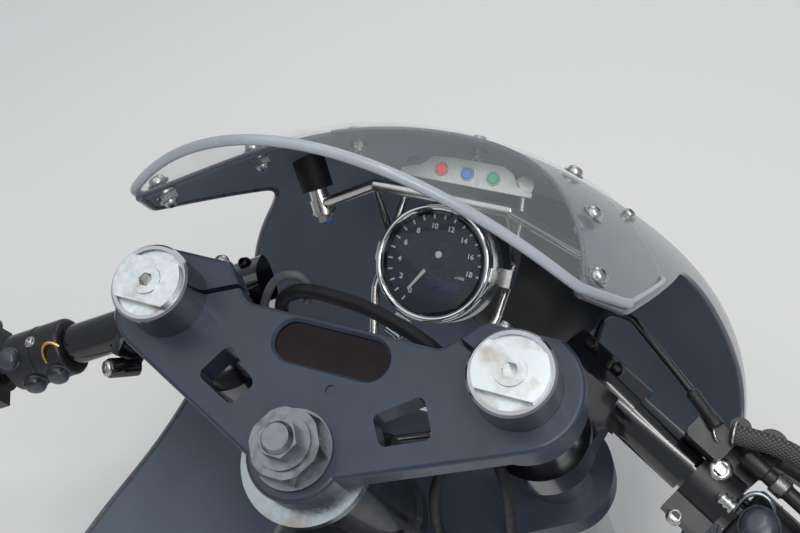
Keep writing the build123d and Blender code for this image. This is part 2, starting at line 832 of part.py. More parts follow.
with BuildPart() as gauge_cup:
    with BuildSketch(gauge_plane(-gauge_depth)):
        Circle(gauge_radius)
    extrude(amount=gauge_depth - bezel_base)
    fillet(gauge_cup.faces().sort_by(Axis(gauge_plane(0).origin, gauge_axis))[0].edges(), 5)
    with BuildSketch(gauge_plane(dial_seat)):
        Circle(gauge_radius - gauge_wall)
    extrude(amount=-dial_seat, mode=Mode.SUBTRACT)
finish(gauge_cup, "gauge_cup")

with BuildPart() as gauge_bezel:
    with BuildSketch(gauge_plane(-bezel_base - bezel_height)):
        Circle(gauge_radius + bezel_wall)
    extrude(amount=bezel_height + bezel_base + 1)
    fillet(gauge_bezel.faces().sort_by(Axis(gauge_plane(0).origin, gauge_axis))[-1].edges(), 2)
    with BuildSketch(gauge_plane(-bezel_base - bezel_height)):
        Circle(gauge_radius + fit_gap)
    extrude(amount=bezel_height, mode=Mode.SUBTRACT)
    with BuildSketch(gauge_plane(-bezel_base)):
        Circle(gauge_radius - bezel_lip)
    extrude(amount=bezel_base + 2, mode=Mode.SUBTRACT)
finish(gauge_bezel, "gauge_bezel")

with BuildPart() as gauge_dial:
    with BuildSketch(gauge_plane(dial_seat)):
        Circle(gauge_radius - gauge_wall - fit_gap)
    extrude(amount=dial_thickness)
finish(gauge_dial, "gauge_dial")

with BuildPart() as gauge_needle:
    with BuildSketch(gauge_plane(dial_seat + dial_thickness)):
        Circle(3)
        with Locations(Location((0, 0), needle_angle)):
            with Locations((needle_length / 2 - 1, 0)):
                Rectangle(needle_length, 1.2)
    extrude(amount=1.2)
finish(gauge_needle, "gauge_needle")

with BuildPart() as gauge_glass:
    with BuildSketch(gauge_plane(-bezel_base - 1.5)):
        Circle(gauge_radius - gauge_wall - seat_gap)
    extrude(amount=1.4)
finish(gauge_glass, "gauge_glass")

# Fairing stay: bent rods welded to a foot on the headstock
stay_foot = 104.0
foot = steer_spot(0, head_radius + 4, -stay_foot)
plate_spot = spot(0, 258, -15)
plate_axis = Vector(0, sin(radians(plate_tilt)), cos(radians(plate_tilt)))
tab_spot = plate_spot + Vector(-40, 0, 0) - plate_axis * (plate_thickness + tab_thickness / 2)
strut_top = spot(45, 224, -56)
strut_knee = spot(44, gauge_ahead + 1, gauge_up - 36)
strut_low = spot(24, 122, -124)
cross_end = spot(98, 227, -41)
bobbin_way = Vector(-0.42, -0.42, 0.8).normalized()
cross_mid = spot(46, 211, 1)


def rods(stops, radius):
    """Straight rods through the stops, with a ball at each bend."""
    with BuildPart() as run:
        for start, end in zip(stops, stops[1:]):
            with BuildSketch(along(start, end, (0.3, 0.2, 1))):
                Circle(radius)
            extrude(amount=(end - start).length)
        for stop in stops[1:-1]:
            with Locations(Location(stop)):
                Sphere(radius)
    return run.part


def swapped(point):
    """The same point on the other side of the bike."""
    return Vector(-point.X, point.Y, point.Z)


def plate_plane(up):
    """A plane on the lamp plate, x to the rider's right, y up its slope."""
    return Plane(origin=plate_spot + plate_axis * up, x_dir=(-1, 0, 0), z_dir=plate_axis)


strut_stops = [cross_mid, strut_top, strut_knee, strut_low, foot]
strut_mirror = [swapped(point) for point in strut_stops]
tab_stops = [strut_top, tab_spot]
bobbin_seats = [(cross_end, bobbin_way), (swapped(cross_end), swapped(bobbin_way))]
cross_rod = rods([cross_end, cross_mid, swapped(cross_mid), swapped(cross_end)], rod_radius)
with BuildPart() as fairing_stay:
    add(cross_rod)
    add(rods(strut_stops, strut_radius))
    add(rods(strut_mirror, strut_radius))
    add(rods(tab_stops, strut_radius))
    add(rods([swapped(point) for point in tab_stops], strut_radius))
    with BuildSketch(steer_plane(-stay_foot - 16, 0, head_radius + 5)):
        Rectangle(40, 10)
    extrude(amount=32)
    with BuildSketch(plate_plane(-plate_thickness - tab_thickness)):
        with Locations((40, 0), (-40, 0)):
            Circle(tab_radius)
    extrude(amount=tab_thickness)
    # eyes with their nuts, under the bobbins
    for end, way in bobbin_seats:
        with BuildSketch(Plane(origin=end, z_dir=way)):
            Circle(eye_radius)
        extrude(amount=rod_radius + 0.5, both=True)
        with BuildSketch(Plane(origin=end, z_dir=way)):
            Circle(bobbin_nut_radius)
        extrude(amount=rod_radius + bobbin_nut)
finish(fairing_stay, "fairing_stay")

# Band that holds the gauge between the two struts
with BuildPart() as gauge_band:
    with BuildSketch(gauge_plane(-band_drop)):
        Circle(gauge_radius + band_wall)
        Rectangle(2 * band_half, 12)
        Circle(gauge_radius + fit_gap, mode=Mode.SUBTRACT)
    extrude(amount=band_height)
    add(rods(strut_stops[1:4], strut_radius + seat_gap), mode=Mode.SUBTRACT)
    add(rods(strut_mirror[1:4], strut_radius + seat_gap), mode=Mode.SUBTRACT)
finish(gauge_band, "gauge_band")

# Rubber bobbins between the stay's eyes and the inside of the fairing
bobbin_room = fairing_loft(wall + seat_gap)
with BuildPart() as stay_bobbins:
    for end, way in bobbin_seats:
        low = end + way * (rod_radius + bobbin_nut + seat_gap)
        with BuildSketch(Plane(origin=low, z_dir=way)):
            Circle(bobbin_radius)
        extrude(amount=60)
    add(bobbin_room, mode=Mode.INTERSECT)
finish(stay_bobbins, "stay_bobbins")

# Warning lamp plate and its three lamps
plate_half = 47.0
plate_low = -8.0
plate_outline = [
    (-plate_half, plate_low), (plate_half, plate_low), (plate_half, -4.5), (37, -2.5),
    (31, 6), (24, 9.5), (-11, 9.5), (-26, 8), (-34, 0.5), (-plate_half, -3.5),
]
with BuildPart() as lamp_plate:
    with BuildSketch(plate_plane(-plate_thickness)):
        with BuildLine():
            FilletPolyline(*plate_outline, radius=1.2, close=True)
        make_face()
        with Locations((-lamp_pitch, 0), (0, 0), (lamp_pitch, 0)):
            Circle(lamp_dome + fit_gap, mode=Mode.SUBTRACT)
    extrude(amount=plate_thickness)
finish(lamp_plate, "lamp_plate")
for name, place in (("lamp_red", -lamp_pitch), ("lamp_blue", 0.0), ("lamp_green", lamp_pitch)):
    with BuildPart() as lamp:
        with BuildSketch(plate_plane(-12)):
            with Locations((place, 0)):
                Circle(lamp_dome)
        extrude(amount=12 + lamp_rise)
        fillet(lamp.faces().sort_by(Axis(plate_plane(0).origin, plate_axis))[-1].edges(), 1.3)
    finish(lamp, name)
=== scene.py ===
import json
import math

import bmesh
import bpy
from bpy.props import FloatProperty, FloatVectorProperty, IntProperty, PointerProperty
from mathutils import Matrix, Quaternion, Vector


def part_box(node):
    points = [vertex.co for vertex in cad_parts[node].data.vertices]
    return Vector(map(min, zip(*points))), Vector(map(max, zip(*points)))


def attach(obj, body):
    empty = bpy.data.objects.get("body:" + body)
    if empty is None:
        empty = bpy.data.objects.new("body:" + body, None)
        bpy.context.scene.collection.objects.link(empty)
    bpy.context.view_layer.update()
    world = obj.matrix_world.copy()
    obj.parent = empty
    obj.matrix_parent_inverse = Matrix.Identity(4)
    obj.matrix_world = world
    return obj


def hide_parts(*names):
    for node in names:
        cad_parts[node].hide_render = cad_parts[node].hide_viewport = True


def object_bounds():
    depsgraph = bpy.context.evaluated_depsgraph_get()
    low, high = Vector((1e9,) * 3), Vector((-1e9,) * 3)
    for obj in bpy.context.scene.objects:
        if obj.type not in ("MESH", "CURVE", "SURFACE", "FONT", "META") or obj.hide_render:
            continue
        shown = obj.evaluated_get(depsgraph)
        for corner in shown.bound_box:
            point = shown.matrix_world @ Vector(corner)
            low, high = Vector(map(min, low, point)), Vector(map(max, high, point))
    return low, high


bl_info = {
    "name": "Motorcycle cockpit",
    "version": (1, 0, 0),
    "blender": (4, 5, 0),
    "location": "3D View > Sidebar > Cockpit",
    "description": "Finishes and small fittings of a motorcycle cockpit with half fairing",
    "category": "Object",
}

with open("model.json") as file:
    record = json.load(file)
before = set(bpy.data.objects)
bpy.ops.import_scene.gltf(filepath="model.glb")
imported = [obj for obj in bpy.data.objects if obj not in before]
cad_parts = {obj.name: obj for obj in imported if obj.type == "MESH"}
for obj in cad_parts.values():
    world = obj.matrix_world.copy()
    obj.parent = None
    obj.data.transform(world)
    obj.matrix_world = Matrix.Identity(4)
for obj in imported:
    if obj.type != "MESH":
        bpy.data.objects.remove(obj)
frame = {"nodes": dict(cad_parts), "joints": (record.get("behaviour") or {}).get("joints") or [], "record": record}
nodes = frame["nodes"]
cad_low, cad_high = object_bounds()

# The steering hinge gives the top of the stem, the steering axis and the way ahead square to it
hinge = frame["joints"][0]
STEM = Vector(hinge["pos_m"])
AXIS = Vector(hinge["axis"]).normalized()
FORE = Vector((1, 0, 0)).cross(AXIS)
MM = 0.001

# Lines of the forks and handlebars, in millimetres and radians
FORK_HALF = 102.5
BAR_AHEAD = 112.5
BAR_DROP = 101.0
BAR_SWEEP = math.radians(28.5)
BAR_DROOP = math.radians(8.0)

# The dial leans back, its zero lies low on the left, and each thousand is one step on
DIAL_TILT = math.radians(45)
DIAL_ZERO = math.radians(238.7)
DIAL_STEP = math.radians(13.6)
LAMP_TILT = math.radians(40)

# Points inside the fairing and the headlamp's bowl, in millimetres from the top of the stem
FAIRING_MIDDLE = (0, 60, -185)
LAMP_FOCUS = (0, 400, -234)

# The photograph's view
CAMERA_PLACE = (-0.2161, 0.2125, 0.5479)
CAMERA_TURN = (47.172, 4.653, -157.470)
SENSOR_WIDTH = 36


def spot(right, ahead, up):
    """A level point in metres, given in millimetres from the top of the stem."""
    return STEM + Vector((-right, -ahead, up)) * MM


def steer_spot(right, ahead, up):
    """A point in metres, given in millimetres square to the steering axis."""
    return STEM + (Vector((-right, 0, 0)) + FORE * ahead + AXIS * up) * MM


def bar_spot(side, right, fore=0.0, rise=0.0):
    """A point by a handlebar, in millimetres: fore is ahead of its line and rise above it."""
    run = right - FORK_HALF
    ahead = BAR_AHEAD - run * math.tan(BAR_SWEEP) + fore
    return steer_spot(side * right, ahead, rise - BAR_DROP - run * math.tan(BAR_DROOP))


def bar_way(side):
    """The way out along a handlebar."""
    return (bar_spot(side, 200) - bar_spot(side, 100)).normalized()


def turned_way(side, angle):
    """A way square to a handlebar: 0 is ahead of it and 90 above it, in degrees."""
    way = bar_way(side)
    rise = (AXIS - way * AXIS.dot(way)).normalized()
    ahead = way.cross(rise) * side * -1
    return ahead * math.cos(math.radians(angle)) + rise * math.sin(math.radians(angle))


def colour(name, default, description):
    """A colour that a user may change."""
    return FloatVectorProperty(
        name=name, subtype="COLOR", size=3, min=0, max=1, default=default, description=description
    )


class CockpitColours(bpy.types.PropertyGroup):
    yoke: colour("Yoke", (0.018, 0.028, 0.050), "Satin paint of the yokes")
    fairing: colour("Fairing", (0.090, 0.092, 0.118), "Gloss paint outside the fairing")
    # The lining is matt inside paint, and its tone is partly painted light: lifted above the outside paint to make
    # up for the shade inside the fairing
    lining: colour("Lining", (0.150, 0.182, 0.238), "Matt paint inside the fairing")
    black: colour("Black", (0.004, 0.004, 0.005), "Gloss black of the handlebars")
    rubber: colour("Rubber", (0.006, 0.006, 0.007), "Grips, boots and cables")
    chrome: colour("Chrome", (0.62, 0.63, 0.65), "Plated steel")
    alloy: colour("Alloy", (0.28, 0.32, 0.35), "Bare aluminium")
    floor: colour("Floor", (0.80, 0.79, 0.77), "Studio floor")


class CockpitSizes(bpy.types.PropertyGroup):
    lens: FloatProperty(
        name="Lens", default=49.05, min=20, max=200, description="Focal length of the camera in millimetres"
    )
    key_power: FloatProperty(
        name="Key light", default=22.0, min=0, description="Power that the lamps share, in watts"
    )
    dial_ticks: IntProperty(name="Dial ticks", default=18, min=4, description="Thousands on the rev counter")


# Finishes


def new_finish(name):
    """A material with its node tree and its shader."""
    finish = bpy.data.materials.new(name)
    finish.use_nodes = True
    return finish, finish.node_tree, finish.node_tree.nodes["Principled BSDF"]


def put(node, values):
    """Sets a node's inputs by their names."""
    for name, value in values.items():
        node.inputs[name].default_value = value
    return node


def own_place(tree):
    """The node of the object's own coordinates."""
    return tree.nodes.new("ShaderNodeTexCoord")


def noise(tree, scale, detail=4.0, stretch=(1, 1, 1)):
    """Noise on the object's own coordinates. Its scale counts per metre."""
    place = own_place(tree)
    turn = put(tree.nodes.new("ShaderNodeMapping"), {"Scale": stretch})
    grain = put(tree.nodes.new("ShaderNodeTexNoise"), {"Scale": scale, "Detail": detail})
    tree.links.new(place.outputs["Object"], turn.inputs["Vector"])
    tree.links.new(turn.outputs["Vector"], grain.inputs["Vector"])
    return grain.outputs["Fac"]


def spread(tree, source, low, high, start=0.3, end=0.7):
    """Maps a source, from start to end, onto low to high."""
    reach = put(
        tree.nodes.new("ShaderNodeMapRange"),
        {"From Min": start, "From Max": end, "To Min": low, "To Max": high},
    )
    tree.links.new(source, reach.inputs["Value"])
    return reach.outputs["Result"]


def blend_colours(tree, factor, first, second):
    """Mixes two colours, each given as a colour or as an output."""
    mix = tree.nodes.new("ShaderNodeMix")
    mix.data_type = "RGBA"
    tree.links.new(factor, mix.inputs["Factor"])
    for socket, value in (("A", first), ("B", second)):
        place = [s for s in mix.inputs if s.name == socket and s.type == "RGBA"][0]
        if hasattr(value, "links"):
            tree.links.new(value, place)
        else:
            place.default_value = (*value, 1)
    return [s for s in mix.outputs if s.type == "RGBA"][0]


def tint(shade, amount):
    """A lighter or darker shade of a colour."""
    return tuple(min(1.0, part * amount) for part in shade)


def bump(tree, shader, height, strength, distance):
    """Presses a height into the shader's normal."""
    press = put(tree.nodes.new("ShaderNodeBump"), {"Strength": strength, "Distance": distance})
    tree.links.new(height, press.inputs["Height"])
    tree.links.new(press.outputs["Normal"], shader.inputs["Normal"])


def feed(tree, shader, sources):
    """Links outputs to the shader's inputs by their names."""
    for name, source in sources.items():
        tree.links.new(source, shader.inputs[name])


def painted(name, shade, rough, coat=0.0, grain=900, press=0.15):
    """Paint with a faint drift of colour, uneven gloss and orange peel."""
    finish, tree, shader = new_finish(name)
    drift = spread(tree, noise(tree, 14, 3), 0, 1)
    feed(tree, shader, {
        "Base Color": blend_colours(tree, drift, tint(shade, 0.88), tint(shade, 1.14)),
        "Roughness": spread(tree, noise(tree, 60), rough * 0.85, rough * 1.2),
    })
    put(shader, {"Coat Weight": coat, "Coat Roughness": 0.06})
    bump(tree, shader, noise(tree, grain, 2), press, 0.0004)
    return finish


def plated(name, shade, rough, stretch=(1, 1, 1), grain=400, press=0.05):
    """Bare or plated metal with fine marks that stretch along the tooling."""
    finish, tree, shader = new_finish(name)
    put(shader, {"Metallic": 1.0})
    drift = spread(tree, noise(tree, 35, 5), 0, 1)
    marks = noise(tree, grain, 5, stretch)
    feed(tree, shader, {
        "Base Color": blend_colours(tree, drift, tint(shade, 0.86), tint(shade, 1.08)),
        "Roughness": spread(tree, marks, rough * 0.7, rough * 1.5),
    })
    bump(tree, shader, marks, press, 0.0002)
    return finish


def dull(name, shade, rough, grain=700, press=0.3, mirror=0.3):
    """Rubber or plain plastic with a fine skin, mirroring little."""
    finish, tree, shader = new_finish(name)
    dust = spread(tree, noise(tree, 45, 6), 0, 1, 0.42, 0.75)
    feed(tree, shader, {
        "Base Color": blend_colours(tree, dust, shade, tint(shade, 1.8)),
        "Roughness": spread(tree, noise(tree, 90), rough * 0.85, rough * 1.1),
    })
    put(shader, {"Specular IOR Level": mirror})
    bump(tree, shader, noise(tree, grain, 3), press, 0.0003)
    return finish


def fluted(name, shade, rough=0.004):
    """Clear moulded glass with upright flutes and faint smears."""
    finish, tree, shader = new_finish(name)
    put(shader, {"Base Color": (*shade, 1), "Transmission Weight": 1.0, "IOR": 1.45})
    smear = spread(tree, noise(tree, 25, 6), rough, rough * 3 + 0.01, 0.45, 0.8)
    feed(tree, shader, {"Roughness": smear})
    place = own_place(tree)
    flutes = put(tree.nodes.new("ShaderNodeTexWave"), {"Scale": 45})
    flutes.bands_direction = "X"
    tree.links.new(place.outputs["Object"], flutes.inputs["Vector"])
    bump(tree, shader, flutes.outputs["Fac"], 0.5, 0.001)
    return finish


def braided(name, thread, gap):
    """Woven sleeving: two sets of fine diagonal threads."""
    finish, tree, shader = new_finish(name)
    place = own_place(tree)
    weave = tree.nodes.new("ShaderNodeMath")
    weave.operation = "MULTIPLY"
    for index, turn in enumerate((0.75, -0.75)):
        lean = put(tree.nodes.new("ShaderNodeMapping"), {"Rotation": (0.4, turn, turn)})
        threads = put(tree.nodes.new("ShaderNodeTexWave"), {"Scale": 190, "Distortion": 0.6})
        tree.links.new(place.outputs["Object"], lean.inputs["Vector"])
        tree.links.new(lean.outputs["Vector"], threads.inputs["Vector"])
        tree.links.new(threads.outputs["Fac"], weave.inputs[index])
    cover = spread(tree, weave.outputs["Value"], 0, 1, 0.1, 0.6)
    feed(tree, shader, {"Base Color": blend_colours(tree, cover, gap, thread)})
    put(shader, {"Roughness": 0.6})
    bump(tree, shader, weave.outputs["Value"], 0.6, 0.0008)
    return finish


def pane(name, shade, cover, ior):
    """Thin clear sheet that shows what lies behind it unbent."""
    finish, tree, shader = new_finish(name)
    haze = spread(tree, noise(tree, 18, 6), 0, 1, 0.4, 0.8)
    feed(tree, shader, {
        "Base Color": blend_colours(tree, haze, tint(shade, 0.92), shade),
        "Roughness": spread(tree, noise(tree, 30, 6), 0.01, 0.09, 0.45, 0.8),
    })
    put(shader, {"Alpha": cover, "IOR": ior})
    return finish


def worn(name, shade, stain, rough, grain):
    """Bare alloy with brown stains, rubbed marks and uneven shine."""
    finish, tree, shader = new_finish(name)
    put(shader, {"Metallic": 1.0})
    patches = spread(tree, noise(tree, 55, 8), 0, 1, 0.52, 0.70)
    drift = spread(tree, noise(tree, 22, 4), 0, 1)
    clean = blend_colours(tree, drift, tint(shade, 0.86), tint(shade, 1.1))
    marks = noise(tree, grain, 6)
    feed(tree, shader, {
        "Base Color": blend_colours(tree, patches, clean, stain),
        "Roughness": spread(tree, marks, rough * 0.7, rough * 1.4),
    })
    bump(tree, shader, marks, 0.12, 0.0003)
    return finish


def lens_glass(name, shade):
    """A coloured lamp lens, bright in itself."""
    finish, tree, shader = new_finish(name)
    depth = put(tree.nodes.new("ShaderNodeLayerWeight"), {"Blend": 0.35})
    base = blend_colours(tree, depth.outputs["Facing"], shade, tint(shade, 0.35))
    feed(tree, shader, {"Base Color": base, "Emission Color": base})
    put(shader, {"Emission Strength": 0.3, "Roughness": 0.1, "Coat Weight": 0.3})
    return finish


def looks_out(tree, focus, stretch=(1, 1, 1)):
    """One on the faces that look away from a focus, nought on those that look towards it."""
    place = own_place(tree)
    source = place.outputs["Object"]
    for operation, value in (("SUBTRACT", focus), ("MULTIPLY", stretch)):
        step = tree.nodes.new("ShaderNodeVectorMath")
        step.operation = operation
        step.inputs[1].default_value = value
        tree.links.new(source, step.inputs[0])
        source = step.outputs["Vector"]
    facing = tree.nodes.new("ShaderNodeVectorMath")
    facing.operation = "DOT_PRODUCT"
    tree.links.new(source, facing.inputs[0])
    tree.links.new(place.outputs["Normal"], facing.inputs[1])
    return spread(tree, facing.outputs["Value"], 0, 1, -0.004, 0.004)


def fairing_finish(name, outside, inside):
    """Gloss paint outside and matt paint inside, told apart by which way a face looks. The inside's tone is partly
    painted light, lifted against the shade inside the fairing.
    """
    finish, tree, shader = new_finish(name)
    outer = looks_out(tree, spot(*FAIRING_MIDDLE), (1, 0.35, 1))
    drift = spread(tree, noise(tree, 7, 3), 0, 1)
    gloss = blend_colours(tree, drift, tint(outside, 0.93), tint(outside, 1.07))
    matt = blend_colours(tree, drift, tint(inside, 0.82), tint(inside, 1.18))
    feed(tree, shader, {
        "Base Color": blend_colours(tree, outer, matt, gloss),
        "Roughness": spread(tree, outer, 0.55, 0.24, 0, 1),
        "Coat Weight": spread(tree, outer, 0, 0.35, 0, 1),
    })
    put(shader, {"Coat Roughness": 0.08})
    bump(tree, shader, noise(tree, 260, 3), 0.06, 0.0008)
    return finish


def bowl_finish(name, bright, behind):
    """A bright reflector with a dark back."""
    finish, tree, shader = new_finish(name)
    back = looks_out(tree, spot(*LAMP_FOCUS))
    feed(tree, shader, {
        "Base Color": blend_colours(tree, back, bright, behind),
        "Metallic": spread(tree, back, 1, 0, 0, 1),
        "Roughness": spread(tree, back, 0.05, 0.45, 0, 1),
    })
    bump(tree, shader, noise(tree, 400, 3), 0.04, 0.0003)
    return finish


FINISHES = {}


def make_finishes():
    """All the materials, by name, in place of the frame's plain ones."""
    for plain in list(bpy.data.materials):
        bpy.data.materials.remove(plain)
    tones = bpy.context.scene.cockpit_colours
    made = [
        painted("yoke_paint", tones.yoke, 0.40, 0.12, 1600, 0.12),
        dull("window_smoke", (0.008, 0.004, 0.005), 0.22, 300, 0.02, 0.14),
        worn("nut_steel", (0.20, 0.22, 0.235), (0.10, 0.095, 0.09), 0.34, 220),
        worn("ring_alloy", tones.alloy, (0.25, 0.23, 0.21), 0.24, 300),
        plated("fork_chrome", (0.36, 0.36, 0.39), 0.14, (1, 1, 6)),
        worn("cap_alloy", (0.58, 0.62, 0.63), (0.36, 0.32, 0.27), 0.36, 300),
        painted("gloss_black", tones.black, 0.13, 0.5, 500, 0.03),
        painted("satin_black", (0.009, 0.009, 0.010), 0.34, 0.0, 1200, 0.2),
        dull("grip_rubber", tones.rubber, 0.6, 900, 0.4),
        painted("frame_paint", (0.016, 0.017, 0.022), 0.35, 0.3),
        fairing_finish("fairing_paint", tones.fairing, tones.lining),
        painted("fairing_rim", tones.fairing, 0.28, 0.4, 400, 0.03),
        pane("screen_clear", (0.50, 0.56, 0.55), 0.13, 1.49),
        plated("stay_steel", (0.52, 0.51, 0.49), 0.18, (1, 1, 1), 500, 0.08),
        dull("bobbin_rubber", (0.007, 0.007, 0.008), 0.6),
        plated("gauge_chrome", tones.chrome, 0.07, (1, 1, 1), 200, 0.01),
        dull("dial_black", (0.008, 0.010, 0.015), 0.5, 1500, 0.08),
        dull("needle_white", (0.75, 0.75, 0.72), 0.45, 900, 0.02),
        pane("gauge_glass", (0.10, 0.12, 0.15), 0.16, 1.5),
        plated("lamp_alloy", (0.74, 0.75, 0.72), 0.34, (8, 1, 1), 260, 0.1),
        lens_glass("lens_red", (0.90, 0.06, 0.03)),
        lens_glass("lens_blue", (0.03, 0.24, 0.80)),
        lens_glass("lens_green", (0.02, 0.55, 0.26)),
        bowl_finish("lamp_bowl", (0.72, 0.72, 0.73), (0.010, 0.010, 0.011)),
        fluted("lamp_glass", (0.95, 0.97, 0.98)),
        # Pale grey-blue of the screen's edge beads, far lighter than the fairing's tone: a painted highlight along
        # those edges
        painted("rim_painted_highlight", (0.36, 0.39, 0.43), 0.30, 0.3, 700, 0.03),
        dull("mark_white", (0.80, 0.80, 0.77), 0.5, 900, 0.02),
        dull("panel_blue", (0.002, 0.008, 0.055), 0.35, 900, 0.02),
        plated("screw_steel", (0.50, 0.50, 0.49), 0.26, (1, 1, 1), 600, 0.05),
        plated("black_steel", (0.030, 0.030, 0.032), 0.32, (1, 1, 1), 600, 0.05),
        dull("lock_blue", (0.02, 0.10, 0.35), 0.4),
        braided("braid_grey", (0.10, 0.10, 0.095), (0.02, 0.02, 0.02)),
        plated("wire_brass", (0.62, 0.38, 0.12), 0.25),
        dull("strap_grey", (0.075, 0.080, 0.085), 0.45, 900, 0.1),
        painted("cable_black", (0.005, 0.005, 0.006), 0.22, 0.2, 500, 0.03),
        painted("button_grey", (0.030, 0.040, 0.052), 0.34, 0.1, 900, 0.05),
    ]
    FINISHES.update({finish.name: finish for finish in made})


def slot_of(node):
    """The material slot that the record gives a node."""
    rows = frame["record"]["subparts"]
    return next(row["material_slot"] for row in rows if row["node"] == node)


# Modelling helpers

# Bolt heads: how thick a washer is, and how deep a head or washer is let into its seat
WASHER = 0.9
SUNK = 0.4


def only(obj):
    """Selects one object and makes it active."""
    bpy.ops.object.select_all(action="DESELECT")
    obj.select_set(True)
    bpy.context.view_layer.objects.active = obj


def soften(obj, width):
    """Rounds a piece's sharp edges."""
    only(obj)
    bevel = obj.modifiers.new("soft edges", "BEVEL")
    bevel.width = width
    bevel.segments = 2
    bpy.ops.object.modifier_apply(modifier=bevel.name)
    bpy.ops.object.shade_smooth_by_angle(angle=math.radians(35))


def settle(obj, place, axis=(0, 0, 1), spin=0.0):
    """Turns an object's Z to axis, moves it to place and puts both into its mesh."""
    only(obj)
    turn = Vector((0, 0, 1)).rotation_difference(Vector(axis))
    obj.rotation_mode = "QUATERNION"
    obj.rotation_quaternion = turn @ Quaternion((0, 0, 1), spin)
    obj.location = place
    bpy.ops.object.transform_apply(location=True, rotation=True, scale=True)


def press_ring(piece, radius, height, hexagon):
    """Puts the selected ring of vertices on a circle or a hexagon, in millimetres."""
    mesh = bmesh.from_edit_mesh(piece.data)
    for vertex in mesh.verts:
        if vertex.select:
            angle = math.atan2(vertex.co.y, vertex.co.x)
            turn = (angle + math.pi / 6) % (math.pi / 3) - math.pi / 6
            reach = radius / math.cos(turn) if hexagon else radius
            vertex.co = Vector((reach * math.cos(angle), reach * math.sin(angle), height)) * MM
    bmesh.update_edit_mesh(piece.data)


def turned(name, steps, flats=(), sides=36, closed=False):
    """A turned piece drawn up through (radius, height) steps in millimetres, hexagons at those in flats.

    A closed one is a ring, its last step on its first.
    """
    fill = "NOTHING" if closed else "NGON"
    bpy.ops.object.select_all(action="DESELECT")
    bpy.ops.mesh.primitive_circle_add(vertices=sides, radius=steps[0][0] * MM, fill_type=fill)
    piece = bpy.context.object
    piece.name = name
    bpy.ops.object.mode_set(mode="EDIT")
    bpy.ops.mesh.select_all(action="SELECT")
    press_ring(piece, *steps[0], 0 in flats)
    for index, step in enumerate(steps[1:], 1):
        bpy.ops.mesh.extrude_region_move()
        press_ring(piece, *step, index in flats)
    bpy.ops.mesh.select_all(action="SELECT")
    if closed:
        bpy.ops.mesh.remove_doubles(threshold=1e-6)
    bpy.ops.mesh.normals_make_consistent(inside=False)
    bpy.ops.object.mode_set(mode="OBJECT")
    bpy.ops.object.shade_smooth_by_angle(angle=math.radians(32))
    return piece


def hoop(name, steps, sides=64):
    """A ring turned through a closed run of (radius, height) steps in millimetres."""
    return turned(name, [*steps, steps[0]], sides=sides, closed=True)


def arc(middle, height, radius, start, end, count=6):
    """Steps along a round corner of a turned profile, its angles in degrees."""
    turns = [math.radians(start + (end - start) * index / count) for index in range(count + 1)]
    return [(middle + radius * math.cos(turn), height + radius * math.sin(turn)) for turn in turns]


def dome(radius, height, rise, count=5):
    """Steps of a round crown that closes at its top."""
    turns = [math.pi / 2 * index / count for index in range(1, count + 1)]
    return [(max(0.05, radius * math.cos(turn)), height + rise * math.sin(turn)) for turn in turns]


def tube(name, stops, radius, order=4):
    """A round tube along a smooth line near the stops, its ends closed."""
    line = bpy.data.curves.new(name, "CURVE")
    line.dimensions = "3D"
    line.bevel_depth = radius * MM
    line.bevel_resolution = 4
    line.use_fill_caps = True
    spline = line.splines.new("NURBS")
    spline.points.add(len(stops) - 1)
    for point, stop in zip(spline.points, stops):
        point.co = (*stop, 1)
    spline.order_u = order
    spline.use_endpoint_u = True
    piece = bpy.data.objects.new(name, line)
    bpy.context.scene.collection.objects.link(piece)
    only(piece)
    bpy.ops.object.convert(target="MESH")
    piece = bpy.context.object
    bpy.ops.object.shade_smooth_by_angle(angle=math.radians(40))
    return piece


def steer_tube(name, stops, radius, order=4):
    """A round tube past stops given in millimetres square to the steering axis."""
    return tube(name, [steer_spot(*stop) for stop in stops], radius, order)


def copies(name, model, seats):
    """Copies of a model, one at each (place, way), as one piece. The model itself goes."""
    made = []
    for place, way in seats:
        only(model)
        bpy.ops.object.duplicate()
        twin = bpy.context.object
        settle(twin, place, way)
        made.append(twin)
    bpy.data.objects.remove(model)
    return joined(name, made)


def socket_bolt(name, radius, height, washer=0.0):
    """A socket bolt's head, standing on its seat, with a washer if that has a radius."""
    foot = WASHER if washer else 0.0
    steps = [(washer, -SUNK), (washer, foot), (radius, foot)] if washer else []
    steps += [
        (radius, foot + 0.05 if washer else -SUNK), (radius, foot + height * 0.35),
        (radius * 0.95, foot + height * 0.6), (radius * 0.84, foot + height * 0.84),
        (radius * 0.68, foot + height * 0.97), (radius * 0.56, foot + height),
        (radius * 0.48, foot + height * 0.96), (radius * 0.46, foot + height * 0.3),
    ]
    return turned(name, steps, flats=(len(steps) - 2, len(steps) - 1))


def bolted(name, sizes, seats, finish, body):
    """Socket bolts with their radius, height and washer, one at each (place, way), as one piece."""
    fitted(copies(name, socket_bolt(name, *sizes), seats), finish, body)


